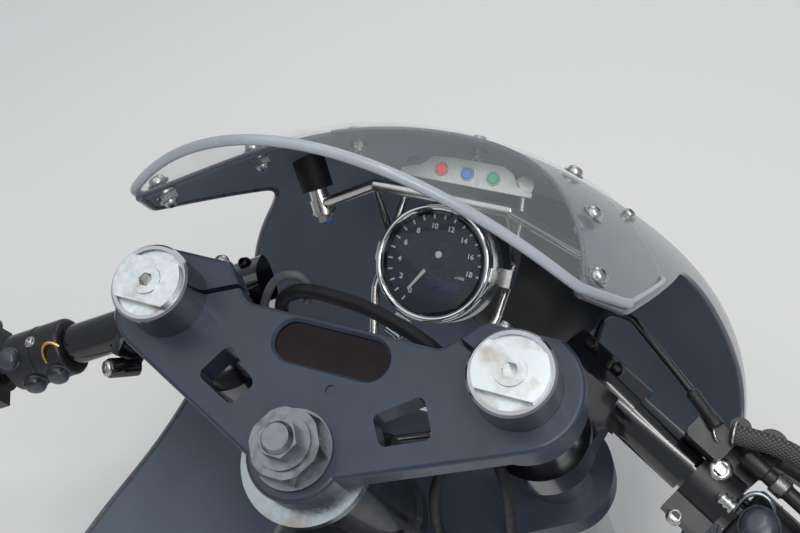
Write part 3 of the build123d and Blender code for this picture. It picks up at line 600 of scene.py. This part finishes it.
def rim_lines(node, cut, depth):
    """Lines along a node's outer rim, where faces that pass cut(middle, normal) meet its outer wall.

    They lie depth millimetres inside that wall.
    """
    mesh = bmesh.new()
    mesh.from_mesh(nodes[node].data)
    bmesh.ops.remove_doubles(mesh, verts=mesh.verts, dist=1e-5)
    cuts = {face for face in mesh.faces if cut(face.calc_center_median(), face.normal)}
    beside = {}
    ways = {}
    for edge in mesh.edges:
        inner = [face for face in edge.link_faces if face in cuts]
        outer = [face for face in edge.link_faces if face not in cuts]
        if len(inner) != 1 or len(outer) != 1:
            continue
        if outer[0].normal.dot(away_from_axis(edge.verts[0].co)) < 0.3:
            continue
        for vertex in edge.verts:
            beside.setdefault(vertex, []).append(edge.other_vert(vertex))
            ways[vertex] = outer[0].normal.copy()
    lines = []
    done = set()
    ends = [vertex for vertex in beside if len(beside[vertex]) == 1]
    for vertex in sorted(ends, key=lambda each: (round(each.co.x, 5), each.co.z)):
        line = []
        while vertex and vertex not in done:
            done.add(vertex)
            line.append(vertex.co - ways[vertex] * depth * MM)
            onward = [other for other in beside[vertex] if other not in done]
            vertex = onward[0] if onward else None
        if line:
            lines.append(line)
    mesh.free()
    return bridged(lines, 12 * MM)


def bridged(lines, reach):
    """Joins lines whose ends lie within reach of each other."""
    lines = [list(line) for line in lines]
    index = 0
    while index < len(lines):
        line = lines[index]
        for other in lines[index + 1:]:
            tries = [(way, far) for way in (line, line[::-1]) for far in (other, other[::-1])]
            near = min(tries, key=lambda pair: (pair[0][-1] - pair[1][0]).length)
            if (near[0][-1] - near[1][0]).length < reach:
                lines[index] = near[0] + near[1]
                lines.remove(other)
                index = -1
                break
        index += 1
    return lines


def thinned(line, step):
    """A line's points at least step apart, its ends kept."""
    kept = [line[0]]
    for point in line[1:-1]:
        if (point - kept[-1]).length >= step:
            kept.append(point)
    return kept + [line[-1]]


def away_from_axis(point):
    """The way straight out of the fairing's form at a point, near enough."""
    middle = spot(0, 0, -185)
    return Vector((point.x, 0, point.z - middle.z)).normalized()


def joined(name, pieces):
    """Several meshes as one piece."""
    only(pieces[0])
    for piece in pieces:
        piece.select_set(True)
    bpy.ops.object.join()
    whole = bpy.context.object
    whole.name = name
    return whole


def fitted(piece, finish, body):
    """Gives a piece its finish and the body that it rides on."""
    piece.data.materials.clear()
    piece.data.materials.append(FINISHES[finish])
    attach(piece, body)


def mounted(piece, place, way, finish, body):
    """Turns a piece's Z to a way, moves it to its place and fits it."""
    settle(piece, place, way)
    fitted(piece, finish, body)


# Pieces

# The screen's screws on each side and the one at its nose: right, ahead and up of the stem
SCREEN_SCREWS = [(127, 103, 64), (106, 173, 41), (73, 248, 1)]
NOSE_SCREW = (0, 283, -6)


class COCKPIT_OT_finishes(bpy.types.Operator):
    """Paint, plating, rubber and glass on the frame's own pieces"""

    bl_idname = "cockpit.finishes"
    bl_label = "Finishes"

    def execute(self, context):
        make_finishes()
        for name, node in nodes.items():
            node.data.materials.clear()
            node.data.materials.append(FINISHES[slot_of(name)])
        return {"FINISHED"}


class COCKPIT_OT_rims(bpy.types.Operator):
    """Round beads along the screen's rear edge and the fairing's rolled edges"""

    bl_idname = "cockpit.rims"
    bl_label = "Rims"

    def execute(self, context):
        lines = rim_lines("screen", lambda middle, way: abs(way.x) < 0.02 and way.y > 0.3, 1.2)
        end = spot(0, 118, 0).y
        # The screen's rear edge and lip get the pale bead finish, a painted highlight along the screen's edges
        self.bead("screen_rim", [[point for point in line if point.y > end] for line in lines],
                  2.7, "rim_painted_highlight", "screen_clear")
        self.bead("screen_lip", lines, 1.4, "rim_painted_highlight", "screen_clear")
        lines = rim_lines("fairing_shell", self.side_cut, 1.8)
        self.bead("fairing_edge", lines, 1.9, "fairing_rim", "fairing_paint")
        lines = rim_lines("fairing_shell", self.opening_cut, 0.6)
        self.bead("opening_edge", lines, 1.5, "fairing_rim", "fairing_paint")
        return {"FINISHED"}

    def side_cut(self, middle, way):
        """Whether a face is part of the fairing's rear edge on either side."""
        return abs(way.x) < 0.02 and abs(middle.x) > 0.09 and middle.y > -0.4

    def opening_cut(self, middle, way):
        """Whether a face is part of the edge of the opening under the screen."""
        return abs(way.z) < 0.02 and middle.z > spot(0, 0, -60).z and abs(way.x) > 0.02

    def bead(self, name, lines, radius, finish, slot):
        """Round beads along the lines, as one piece."""
        beads = [tube(name, thinned(line, 4 * MM), radius, 3) for line in lines if len(line) > 3]
        if not beads:
            raise RuntimeError("no cut edge was found for " + name)
        fitted(joined(name, beads), finish, "root")


class COCKPIT_OT_screws(bpy.types.Operator):
    """Screws through the screen with their nuts, and the bobbins' bolts and nuts"""

    bl_idname = "cockpit.screws"
    bl_label = "Screws"

    def execute(self, context):
        seats = [spot(side * right, ahead, up) for right, ahead, up in SCREEN_SCREWS for side in (1, -1)]
        seats.append(spot(*NOSE_SCREW))
        heads = []
        nuts = []
        for seat in seats:
            out = away_from_axis(seat)
            heads.append(self.struck("screen", seat + out * 0.1, -out))
            nuts.append(self.inside(seat, out))
        head = turned(
            "screen_screws",
            [(6.4, -0.5), (6.6, 0.7), (5.2, 0.9), (5.0, 2.2), (4.6, 3.4), (3.4, 4.4), (1.9, 4.7), (1.8, 3.0)],
            flats=(6, 7),
        )
        fitted(copies("screen_screws", head, heads), "screw_steel", "root")
        nut = turned(
            "screen_nuts",
            [(6.6, -0.5), (6.6, 0.9), (4.9, 0.9), (5.0, 1.1), (5.0, 5.0), (4.2, 5.4)] + dome(4.2, 5.4, 4.2),
            flats=(3, 4),
        )
        fitted(copies("screen_nuts", nut, nuts), "screw_steel", "root")

        # bobbins: a bolt's head outside the fairing, washers and a nut under the stay's eye
        ends = [(side, spot(side * 98, 227, -41)) for side in (1, -1)]
        ways = [(end, Vector((-side * 0.42, -0.42, 0.8)).normalized()) for side, end in ends]
        seats = [(self.struck("fairing_shell", end + way * 0.12, -way)[0], way) for end, way in ways]
        bolted("bobbin_bolts", (4.0, 3.6, 5.6), seats, "screw_steel", "root")
        stack = turned(
            "bobbin_nuts",
            [(8.6, -0.4), (8.6, 1.2), (7.2, 1.3), (7.2, 2.6), (5.4, 2.7), (5.5, 2.9), (5.5, 7.4), (5.0, 7.8)],
            flats=(5, 6),
        )
        under = [(end - way * 4.4 * MM, -way) for end, way in ways]
        fitted(copies("bobbin_nuts", stack, under), "screw_steel", "root")
        lock = turned("bobbin_lock_rings", [(4.6, 7.0), (4.6, 8.6), (4.0, 9.4), (2.6, 9.6), (2.4, 8.4)])
        fitted(copies("bobbin_lock_rings", lock, under), "lock_blue", "root")
        return {"FINISHED"}

    def struck(self, node, start, way):
        """Where a ray first meets a node, and the surface's normal there."""
        found, place, normal, _ = nodes[node].ray_cast(start, way)
        if not found:
            raise RuntimeError("a ray missed " + node)
        return place, normal

    def inside(self, seat, out):
        """The inner seat of a screw: on the fairing, or on the screen where that is bare."""
        start = seat - out * 0.06
        places = []
        for node in ("fairing_shell", "screen"):
            found, place, normal, _ = nodes[node].ray_cast(start, out)
            if found:
                places.append(((place - start).length, node, place, normal))
        if not places:
            raise RuntimeError("a screw has no inner seat")
        _, _, place, normal = min(places, key=lambda each: each[0])
        return place, normal


class COCKPIT_OT_dial(bpy.types.Operator):
    """Ticks, numbers, panel and needle on the rev counter's dial"""

    bl_idname = "cockpit.dial"
    bl_label = "Dial"

    def execute(self, context):
        self.face = Vector((0, math.sin(DIAL_TILT), math.cos(DIAL_TILT)))
        self.slope = Vector((0, -math.cos(DIAL_TILT), math.sin(DIAL_TILT)))
        low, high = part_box("gauge_dial")
        self.centre = (low + high) / 2 + self.face * 0.5 * MM
        self.marks(context.scene.cockpit_sizes.dial_ticks)
        self.needle()
        self.bezel()
        self.lamp_rings()
        return {"FINISHED"}

    def marks(self, ticks):
        """Ticks with a number at every other one, and the panel low on the dial."""
        marks = []
        for number in range(ticks + 1):
            angle = DIAL_ZERO - DIAL_STEP * number
            marks.append(self.laid(self.bar(29.4, 32.6, 0.55, 0.55, 0.25), angle))
            if number % 2 == 0:
                place = (24.4 * math.cos(angle), 24.4 * math.sin(angle))
                marks.append(self.word(str(number), 4.9, place, centred=True))
        marks.append(self.word("x1000", 2.6, (15.5, -7.0)))
        fitted(joined("dial_marks", marks), "mark_white", "root")
        panel = self.bar(-4.0, 19.8, 4.3, 4.3, 0.3)
        panel.name = "dial_panel"
        self.laid(panel, 0, Vector((0, -14.1, 0)) * MM)
        fitted(panel, "panel_blue", "root")

    def word(self, body, height, place, centred=False):
        """A raised number on the dial, in millimetres, its middle or its lower left corner at place."""
        bpy.ops.object.text_add()
        text = bpy.context.object.data
        text.body = body
        text.size = height * MM
        text.extrude = 0.1 * MM
        if centred:
            text.align_x = "CENTER"
            text.align_y = "CENTER"
            text.offset = 0.1 * MM
        bpy.ops.object.convert(target="MESH")
        number = bpy.context.object
        number.location = Vector((*place, 0.2)) * MM
        bpy.ops.object.transform_apply(location=True, rotation=True, scale=True)
        return self.laid(number, 0)

    def needle(self):
        """The needle at nought, with the hub and pin of its pivot above the dial's middle."""
        pivot = Vector((1.6, 6.0, 0)) * MM
        needle = self.bar(13.6, 30.6, 1.1, 0.8, 0.6, 0.4)
        needle.name = "dial_needle"
        self.laid(needle, DIAL_ZERO, pivot)
        fitted(needle, "needle_white", "root")
        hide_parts("gauge_needle")
        hub = turned("needle_hub", [(9.4, 0.1), (9.4, 0.5), (9.0, 0.7), (3.0, 0.9), (0.4, 0.9)])
        middle = self.centre - Vector((1, 0, 0)) * pivot.x + self.slope * pivot.y
        mounted(hub, middle, self.face, "dial_black", "root")
        pin = turned("needle_pin", [(2.3, 0.6), (2.3, 1.0)] + dome(2.3, 1.0, 0.4))
        mounted(pin, middle, self.face, "mark_white", "root")

    def bezel(self):
        """The rolled rim in the bezel's place, and the dark ring inside it."""
        front = self.centre + self.face * 6 * MM
        lip = [(34.7, -0.4), (34.3, -3), (36.2, -3), (36.2, -8)]
        profile = [(39, -8), *arc(36.9, -1.1, 2.1, 0, 130), *lip]
        rim = hoop("rolled_bezel", profile, 96)
        mounted(rim, front, self.face, "gauge_chrome", "root")
        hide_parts("gauge_bezel")
        ring = hoop("bezel_gasket", [(34.5, -3), (34.5, -1.0), (34.0, -0.9), (32.2, -2.4), (32.2, -3)], 96)
        mounted(ring, front, self.face, "gloss_black", "root")

    def lamp_rings(self):
        """Bright rings round the warning lamps, where each lamp leaves its plate."""
        way = Vector((0, math.sin(LAMP_TILT), math.cos(LAMP_TILT)))
        seats = []
        for node in ("lamp_red", "lamp_blue", "lamp_green"):
            low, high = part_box(node)
            seats.append(((low + high) / 2 + way * 5.25 * MM, way))
        ring = hoop("lamp_rings", [(5.0, -0.3), (5.0, 0.4), (4.6, 0.9), (4.1, 0.9), (4.05, -0.3)], 40)
        fitted(copies("lamp_rings", ring, seats), "screw_steel", "root")

    def bar(self, start, end, half_start, half_end, top, foot=0.0):
        """A flat bar along X with softened edges, in millimetres."""
        bpy.ops.mesh.primitive_cube_add(size=1)
        mark = bpy.context.object
        for vertex in mark.data.vertices:
            far = vertex.co.x > 0
            half = half_end if far else half_start
            vertex.co.x = (end if far else start) * MM
            vertex.co.y = math.copysign(half, vertex.co.y) * MM
            vertex.co.z = (foot + top if vertex.co.z > 0 else foot) * MM
        soften(mark, min(half_start, half_end, top) * 0.3 * MM)
        return mark

    def laid(self, mark, angle, shift=Vector((0, 0, 0))):
        """Lays a mark drawn on XY onto the dial, turned by angle and then shifted."""
        across = Vector((-1, 0, 0))
        for vertex in mark.data.vertices:
            x, y, z = vertex.co
            run = x * math.cos(angle) - y * math.sin(angle) + shift.x
            rise = x * math.sin(angle) + y * math.cos(angle) + shift.y
            vertex.co = self.centre + across * run + self.slope * rise + self.face * z
        return mark


class COCKPIT_OT_clamps(bpy.types.Operator):
    """Pinch bolts of the yokes and handlebars, and the small clamp on the left bar"""

    bl_idname = "cockpit.clamps"
    bl_label = "Clamps"

    def execute(self, context):
        turn = math.radians(24.5)
        seats = []
        for side in (1, -1):
            way = Vector((-side * math.sin(turn), 0, 0)) + FORE * math.cos(turn)
            seats.append((steer_spot(side * 84, 89.6, -9), way))
        bolted("yoke_pinch_bolts", (4.6, 5.0, 6.4), seats, "screw_steel", "steering")
        seats = [(steer_spot(side * FORK_HALF, 96.6, up), FORE) for side in (1, -1) for up in (-191, -209)]
        bolted("lower_pinch_bolts", (5.0, 6.0, 7.0), seats, "screw_steel", "steering")
        seats = []
        for side in (1, -1):
            for right in (109, 127):
                way = turned_way(side, 90)
                ear = bar_spot(side, right) + turned_way(side, 0) * 13.5 * MM
                seats.append((ear + way * 8.6 * MM, way))
        bolted("clipon_bolts", (3.6, 4.0, 4.6), seats, "black_steel", "steering")
        self.stop_clamp(bar_spot(-1, 184), steer_spot(-193, 31.4, -108), steer_spot(-182, 41.5, -125))
        return {"FINISHED"}

    def stop_clamp(self, middle, head, end):
        """A split ring round the left bar, its boss and bolt lying from end to head behind the bar."""
        ring = hoop("stop_clamp", [(14.6, -10), (16.6, -10), (17.4, -9), (17.4, 9), (16.6, 10), (14.6, 10)])
        settle(ring, middle, bar_way(-1))
        out = (head - end).normalized()
        boss = turned("boss", [(6.2, -1), (6.8, 0), (6.8, 19.5), (6.3, 20.5), (5.6, 20.6)])
        settle(boss, end, out)
        bpy.ops.mesh.primitive_cube_add(size=1, location=(0, 0, 0))
        lug = bpy.context.object
        lug.scale = Vector((9, 26, 14)) * MM
        bpy.ops.object.transform_apply(location=False, rotation=False, scale=True)
        soften(lug, 1.4 * MM)
        reach = ((end + head) / 2 - middle).normalized()
        settle(lug, middle + reach * 19 * MM, reach)
        fitted(joined("stop_clamp", [ring, boss, lug]), "gloss_black", "steering")
        bolt = socket_bolt("stop_clamp_bolt", 5.6, 3.0)
        mounted(bolt, end + out * 20.6 * MM, out, "screw_steel", "steering")


class COCKPIT_OT_controls(bpy.types.Operator):
    """Small fittings of the brake master, the clutch perch and the switches"""

    bl_idname = "cockpit.controls"
    bl_label = "Controls"

    def execute(self, context):
        self.perches()
        self.hose_end()
        self.throttle(steer_spot(227.3, 72.2, -97), bar_way(1))
        self.switches()
        return {"FINISHED"}

    def perches(self):
        """Clamp bolts of the brake master, and the clamp and pivot screws of both levers."""
        heads = []
        for radius, height, place in ((7.0, 5.0, (202, 69, -100.4)), (5.0, 4.0, (184, 39, -108.4))):
            head = socket_bolt("perch_bolts", radius, height)
            settle(head, steer_spot(*place), turned_way(1, 90))
            heads.append(head)
        fitted(joined("perch_bolts", heads), "screw_steel", "steering")
        rise, fore = turned_way(-1, 90), turned_way(-1, 0)
        seats = [(bar_spot(-1, right) + rise * 8 * MM - fore * 21.5 * MM, rise) for right in (288, 302)]
        for side, start in ((1, 188), (-1, 282)):
            pivot = bar_spot(side, start) + bar_way(side) * 20 * MM + turned_way(side, 0) * 40 * MM
            for sign in (1, -1):
                seats.append((pivot + turned_way(side, 90) * sign * 9.6 * MM, turned_way(side, 90) * sign))
        bolted("lever_screws", (4.6, 3.6, 6.0), seats, "black_steel", "steering")

    def hose_end(self):
        """The brake line's boot, and the woven sleeve with its two rings."""
        boot = turned(
            "hose_boot",
            [(2.6, -1.5), (3.7, 0), (3.9, 0.8), (3.9, 3.4), (3.6, 3.8), (3.8, 18), (4.2, 19), (4.2, 23)],
        )
        start, end = steer_spot(178.8, 104.2, -85.4), steer_spot(196, 89, -85.4)
        mounted(boot, start, (end - start).normalized(), "satin_black", "steering")
        sleeve = steer_tube("braided_sleeve", (
            (204, 87.5, -88), (212, 88, -88), (227, 88, -90), (241, 86, -94), (252, 80, -98), (261, 68, -104),
            (262, 54, -110), (259, 42, -116),
        ), 5.7)
        fitted(sleeve, "braid_grey", "steering")
        rings = []
        for place, reach, lean in (
            ((197.5, 86.5, -90), 5.6, (0.8, 0.3, 0.5)), ((206, 88, -88), 6.5, (1, 0, 0.15)),
        ):
            bpy.ops.mesh.primitive_torus_add(
                major_radius=reach * MM, minor_radius=0.8 * MM, major_segments=40, minor_segments=10
            )
            ring = bpy.context.object
            bpy.ops.object.shade_smooth()
            settle(ring, steer_spot(*place), steer_spot(*lean) - STEM)
            rings.append(ring)
        fitted(joined("sleeve_rings", rings), "screw_steel", "steering")

    def throttle(self, start, way):
        """The throttle cable with its adjuster along way from start, and the knob by the right switch."""
        steps = [(4.6, -16), (5.6, -14), (5.6, -2), (4.8, -1), (4.8, 3), (5.2, 4)]
        steps += [(5.2, 12), (4.4, 13), (4.4, 30), (3.6, 31), (2.6, 40)]
        adjuster = turned("throttle_adjuster", steps, sides=28)
        mounted(adjuster, start, way, "satin_black", "steering")
        ridges = [(6.4 if ridge % 2 else 5.8, 4 + ridge * 0.55) for ridge in range(15)]
        band = turned("adjuster_band", [(5.0, 3.6), *ridges, (5.0, 12.2)], sides=28)
        mounted(band, start, way, "screw_steel", "steering")
        cable = tube("throttle_cable", [
            start + way * 36 * MM, start + way * 44 * MM, steer_spot(270, 44, -106),
            steer_spot(272, 34, -116), steer_spot(268, 24, -122),
        ], 2.5)
        fitted(cable, "grip_rubber", "steering")
        knob = turned("ribbed_knob", [(2.4, -7), (3.8, -5), (3.8, -3.4), (3.0, -3.2), (3.0, -2), (3.8, -1.8),
                                      (3.8, 0), (3.0, 0.2), (3.0, 1.4), (3.8, 1.6), (3.8, 3.2), (2.6, 3.6)])
        mounted(knob, steer_spot(210.5, 51.5, -97), way, "screw_steel", "steering")

    def switches(self):
        """The button's guard, the earth wire and screw, and the seams and domed caps of both switches."""
        guard = steer_tube("button_guard", (
            (214, 50, -103), (216, 55.5, -98), (219.5, 59.5, -96), (224.5, 61.5, -96), (229.5, 60.5, -97),
            (233, 57, -99), (234.5, 52, -104),
        ), 1.4)
        fitted(guard, "ring_alloy", "steering")
        wire = steer_tube("switch_wire", (
            (-229, 36, -101), (-233, 37, -98), (-237, 35.5, -97), (-239.5, 32, -98.5), (-238.5, 27, -102),
            (-236, 24, -106),
        ), 1.1)
        fitted(wire, "wire_brass", "steering")
        lean = turned_way(-1, 84)
        screw = socket_bolt("switch_screw", 3.0, 2.0, 4.0)
        mounted(screw, bar_spot(-1, 249) + lean * 19.9 * MM, lean, "screw_steel", "steering")
        seams = []
        for side, right in ((-1, 251), (1, 228)):
            seam = hoop("seam", [(19.6, -0.5), (20.4, -0.3), (20.4, 0.3), (19.6, 0.5)])
            settle(seam, bar_spot(side, right), bar_way(side))
            seams.append(seam)
        fitted(joined("switch_seams", seams), "satin_black", "steering")
        caps = []
        for side, start, shift, angle, radius in (
            (1, 216, 14, 90, 10), (-1, 231, 10, 165, 7), (-1, 231, 30, 172, 7), (-1, 231, 41, 105, 7),
        ):
            wide, bend, turn = radius + 0.5, radius * 0.62, math.radians(angle)
            steps = [(radius + 1.4, 19.4), (radius + 1.4, 20.4), (wide, 20.8), (wide, 21.2)]
            steps += arc(wide - bend, 26.5 - bend, bend, 0, 75, 5) + [(radius * 0.2, 26.7), (0.05, 26.8)]
            cap = turned("button_caps", steps, sides=40)
            lean = turned_way(side, 0) * math.cos(turn) + AXIS * math.sin(turn)
            settle(cap, bar_spot(side, start) + bar_way(side) * shift * MM, lean)
            caps.append(cap)
        fitted(joined("button_caps", caps), "button_grey", "steering")


class COCKPIT_OT_grips(bpy.types.Operator):
    """Ribbed rubber grips"""

    bl_idname = "cockpit.grips"
    bl_label = "Grips"

    def execute(self, context):
        pitch = 3.2
        for name, side, start in (("right", 1, 268), ("left", -1, 316)):
            steps = [(22.0, 0), (23.0, 0.8), (23.0, 4.2), (22.0, 5.0), (17.2, 5.6)]
            length = (bar_spot(side, start + 118) - bar_spot(side, start)).length / MM
            for rib in range(int((length - 16) / pitch)):
                base = 9 + rib * pitch
                steps += [(15.9, base), (16.5, base + 0.4), (16.5, base + 1.9), (15.9, base + 2.3)]
            steps += [(16.6, length - 3), (16.6, length - 0.8), (15.6, length)]
            grip = turned("ribbed_grip_" + name, steps, sides=48)
            mounted(grip, bar_spot(side, start), bar_way(side), "grip_rubber", "steering")
            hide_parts("grip_" + name)
        return {"FINISHED"}


class COCKPIT_OT_cables(bpy.types.Operator):
    """The brake line, and two cables that run down behind the steering stem"""

    bl_idname = "cockpit.cables"
    bl_label = "Cables"

    def execute(self, context):
        line = steer_tube("brake_line", (
            (190.5, 94.5, -85.6), (179.5, 104, -86), (171.5, 110.8, -86), (143, 134.2, -86),
            (135, 140.5, -86), (116, 147, -106), (112, 136, -136), (103, 119, -165), (91, 99, -198),
        ), 2.4, 3)
        fitted(line, "cable_black", "steering")
        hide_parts("brake_hose")
        for name, stops in (
            ("cable_outer", ((62, 62, -100), (74, 52, -84), (88, 36, -66), (95, 24, -80), (93, 17, -120),
                             (88, 14, -160), (85, 13, -184))),
            ("cable_inner", ((62, 60, -112), (62, 44, -92), (60, 26, -66), (56, 10, -78), (50, 3, -120),
                             (44, 0, -160), (41, 0, -184))),
        ):
            fitted(steer_tube(name, stops, 3.4), "grip_rubber", "steering")
        return {"FINISHED"}


class COCKPIT_OT_loom_fittings(bpy.types.Operator):
    """Sleeve, strap, clip and connectors on the wiring loom"""

    bl_idname = "cockpit.loom_fittings"
    bl_label = "Loom fittings"

    def execute(self, context):
        sleeve = steer_tube("loom_sleeve", (
            (-62, 68, -100), (-69, 88, -63), (-58, 95, -45), (-43, 98, -42), (-27, 97.5, -43), (-10, 97, -44),
            (4, 94, -45), (17, 91, -46), (30, 87, -49), (44, 82, -55), (57, 73, -74),
        ), 4.3)
        fitted(sleeve, "grip_rubber", "steering")
        strap = steer_tube("loom_strap", (
            (-74, 84, -58), (-71, 93, -47), (-64, 100, -39), (-55, 104, -37), (-47, 104, -42), (-44, 99, -50),
            (-46, 92, -52),
        ), 2.6)
        fitted(strap, "strap_grey", "steering")
        clip = turned("loom_clip", [(4.9, -4), (5.6, -3.2), (5.6, 3.2), (4.9, 4)])
        mounted(clip, steer_spot(-68, 87, -62), steer_spot(0.2, 0.45, 0.85) - STEM, "screw_steel", "steering")
        along = steer_spot(0.8, -0.3, -0.1) - STEM
        seats = [(steer_spot(12, 97, -50), along), (steer_spot(10, 88, -49), along)]
        plug = turned("loom_plugs", [(1.6, -2), (2.3, -1.6), (2.3, 5), (2.7, 5.2), (2.7, 8), (2.0, 8.6)])
        fitted(copies("loom_plugs", plug, seats), "ring_alloy", "steering")
        return {"FINISHED"}


class COCKPIT_OT_stage(bpy.types.Operator):
    """Floor, lamps and camera"""

    bl_idname = "cockpit.stage"
    bl_label = "Stage"

    def execute(self, context):
        tones = context.scene.cockpit_colours
        sizes = context.scene.cockpit_sizes
        ground = cad_low.z - 0.02
        bpy.ops.mesh.primitive_plane_add(size=12, location=(0, 0, ground))
        floor = context.object
        floor.name = "floor"
        finish, _, shader = new_finish("floor")
        put(shader, {"Base Color": (*tones.floor, 1), "Roughness": 0.9})
        floor.data.materials.append(finish)

        world = bpy.data.worlds.new("studio")
        world.use_nodes = True
        put(world.node_tree.nodes["Background"], {"Color": (0.86, 0.90, 0.96, 1), "Strength": 0.45})
        context.scene.world = world

        for name, place, width, depth, share in (
            ("overhead", (0.5, 0.2, 1.9), 2.0, 2.0, 0.55),
            ("key", (-1.0, 0.8, 1.5), 0.9, 0.9, 0.6),
            ("front", (0.2, -2.0, 1.2), 1.2, 1.2, 0.3),
            ("strip_near", (-0.5, 0.25, 1.8), 0.9, 0.08, 0.14),
            ("strip_far", (-0.5, -0.3, 1.8), 0.9, 0.08, 0.14),
        ):
            self.lamp(name, place, width, depth, sizes.key_power * share)

        bpy.ops.object.camera_add(location=CAMERA_PLACE)
        camera = context.object
        camera.rotation_euler = [math.radians(turn) for turn in CAMERA_TURN]
        camera.data.sensor_width = SENSOR_WIDTH
        camera.data.lens = sizes.lens
        camera.data.clip_start = 0.01
        context.scene.camera = camera
        context.scene.view_settings.view_transform = "Standard"
        return {"FINISHED"}

    def lamp(self, name, place, width, depth, power):
        """A lamp that looks at the object."""
        aim = (cad_low + cad_high) / 2
        bpy.ops.object.light_add(type="AREA", location=place)
        light = bpy.context.object
        light.name = name
        light.data.shape = "RECTANGLE"
        light.data.size = width
        light.data.size_y = depth
        light.data.energy = power
        light.rotation_euler = (aim - Vector(place)).to_track_quat("-Z", "Y").to_euler()


class COCKPIT_PT_panel(bpy.types.Panel):
    """The cockpit's operators, in the order that main calls them"""

    bl_idname = "COCKPIT_PT_panel"
    bl_label = "Cockpit"
    bl_space_type = "VIEW_3D"
    bl_region_type = "UI"
    bl_category = "Cockpit"

    def draw(self, context):
        for group in (context.scene.cockpit_colours, context.scene.cockpit_sizes):
            column = self.layout.column()
            for name in group.bl_rna.properties.keys():
                if name not in ("rna_type", "name"):
                    column.prop(group, name)
        for operator in OPERATORS:
            self.layout.operator(operator.bl_idname)


OPERATORS = [
    COCKPIT_OT_finishes,
    COCKPIT_OT_stage,
    COCKPIT_OT_rims,
    COCKPIT_OT_screws,
    COCKPIT_OT_dial,
    COCKPIT_OT_clamps,
    COCKPIT_OT_controls,
    COCKPIT_OT_grips,
    COCKPIT_OT_cables,
    COCKPIT_OT_loom_fittings,
]
CLASSES = [CockpitColours, CockpitSizes, *OPERATORS, COCKPIT_PT_panel]


def register():
    for each in CLASSES:
        bpy.utils.register_class(each)
    bpy.types.Scene.cockpit_colours = PointerProperty(type=CockpitColours)
    bpy.types.Scene.cockpit_sizes = PointerProperty(type=CockpitSizes)


def unregister():
    del bpy.types.Scene.cockpit_sizes
    del bpy.types.Scene.cockpit_colours
    for each in reversed(CLASSES):
        bpy.utils.unregister_class(each)


def main():
    """Makes every piece."""
    register()
    bpy.ops.cockpit.finishes()
    bpy.ops.cockpit.stage()
    bpy.ops.cockpit.rims()
    bpy.ops.cockpit.screws()
    bpy.ops.cockpit.dial()
    bpy.ops.cockpit.clamps()
    bpy.ops.cockpit.controls()
    bpy.ops.cockpit.grips()
    bpy.ops.cockpit.cables()
    bpy.ops.cockpit.loom_fittings()


if __name__ == "__main__":
    main()
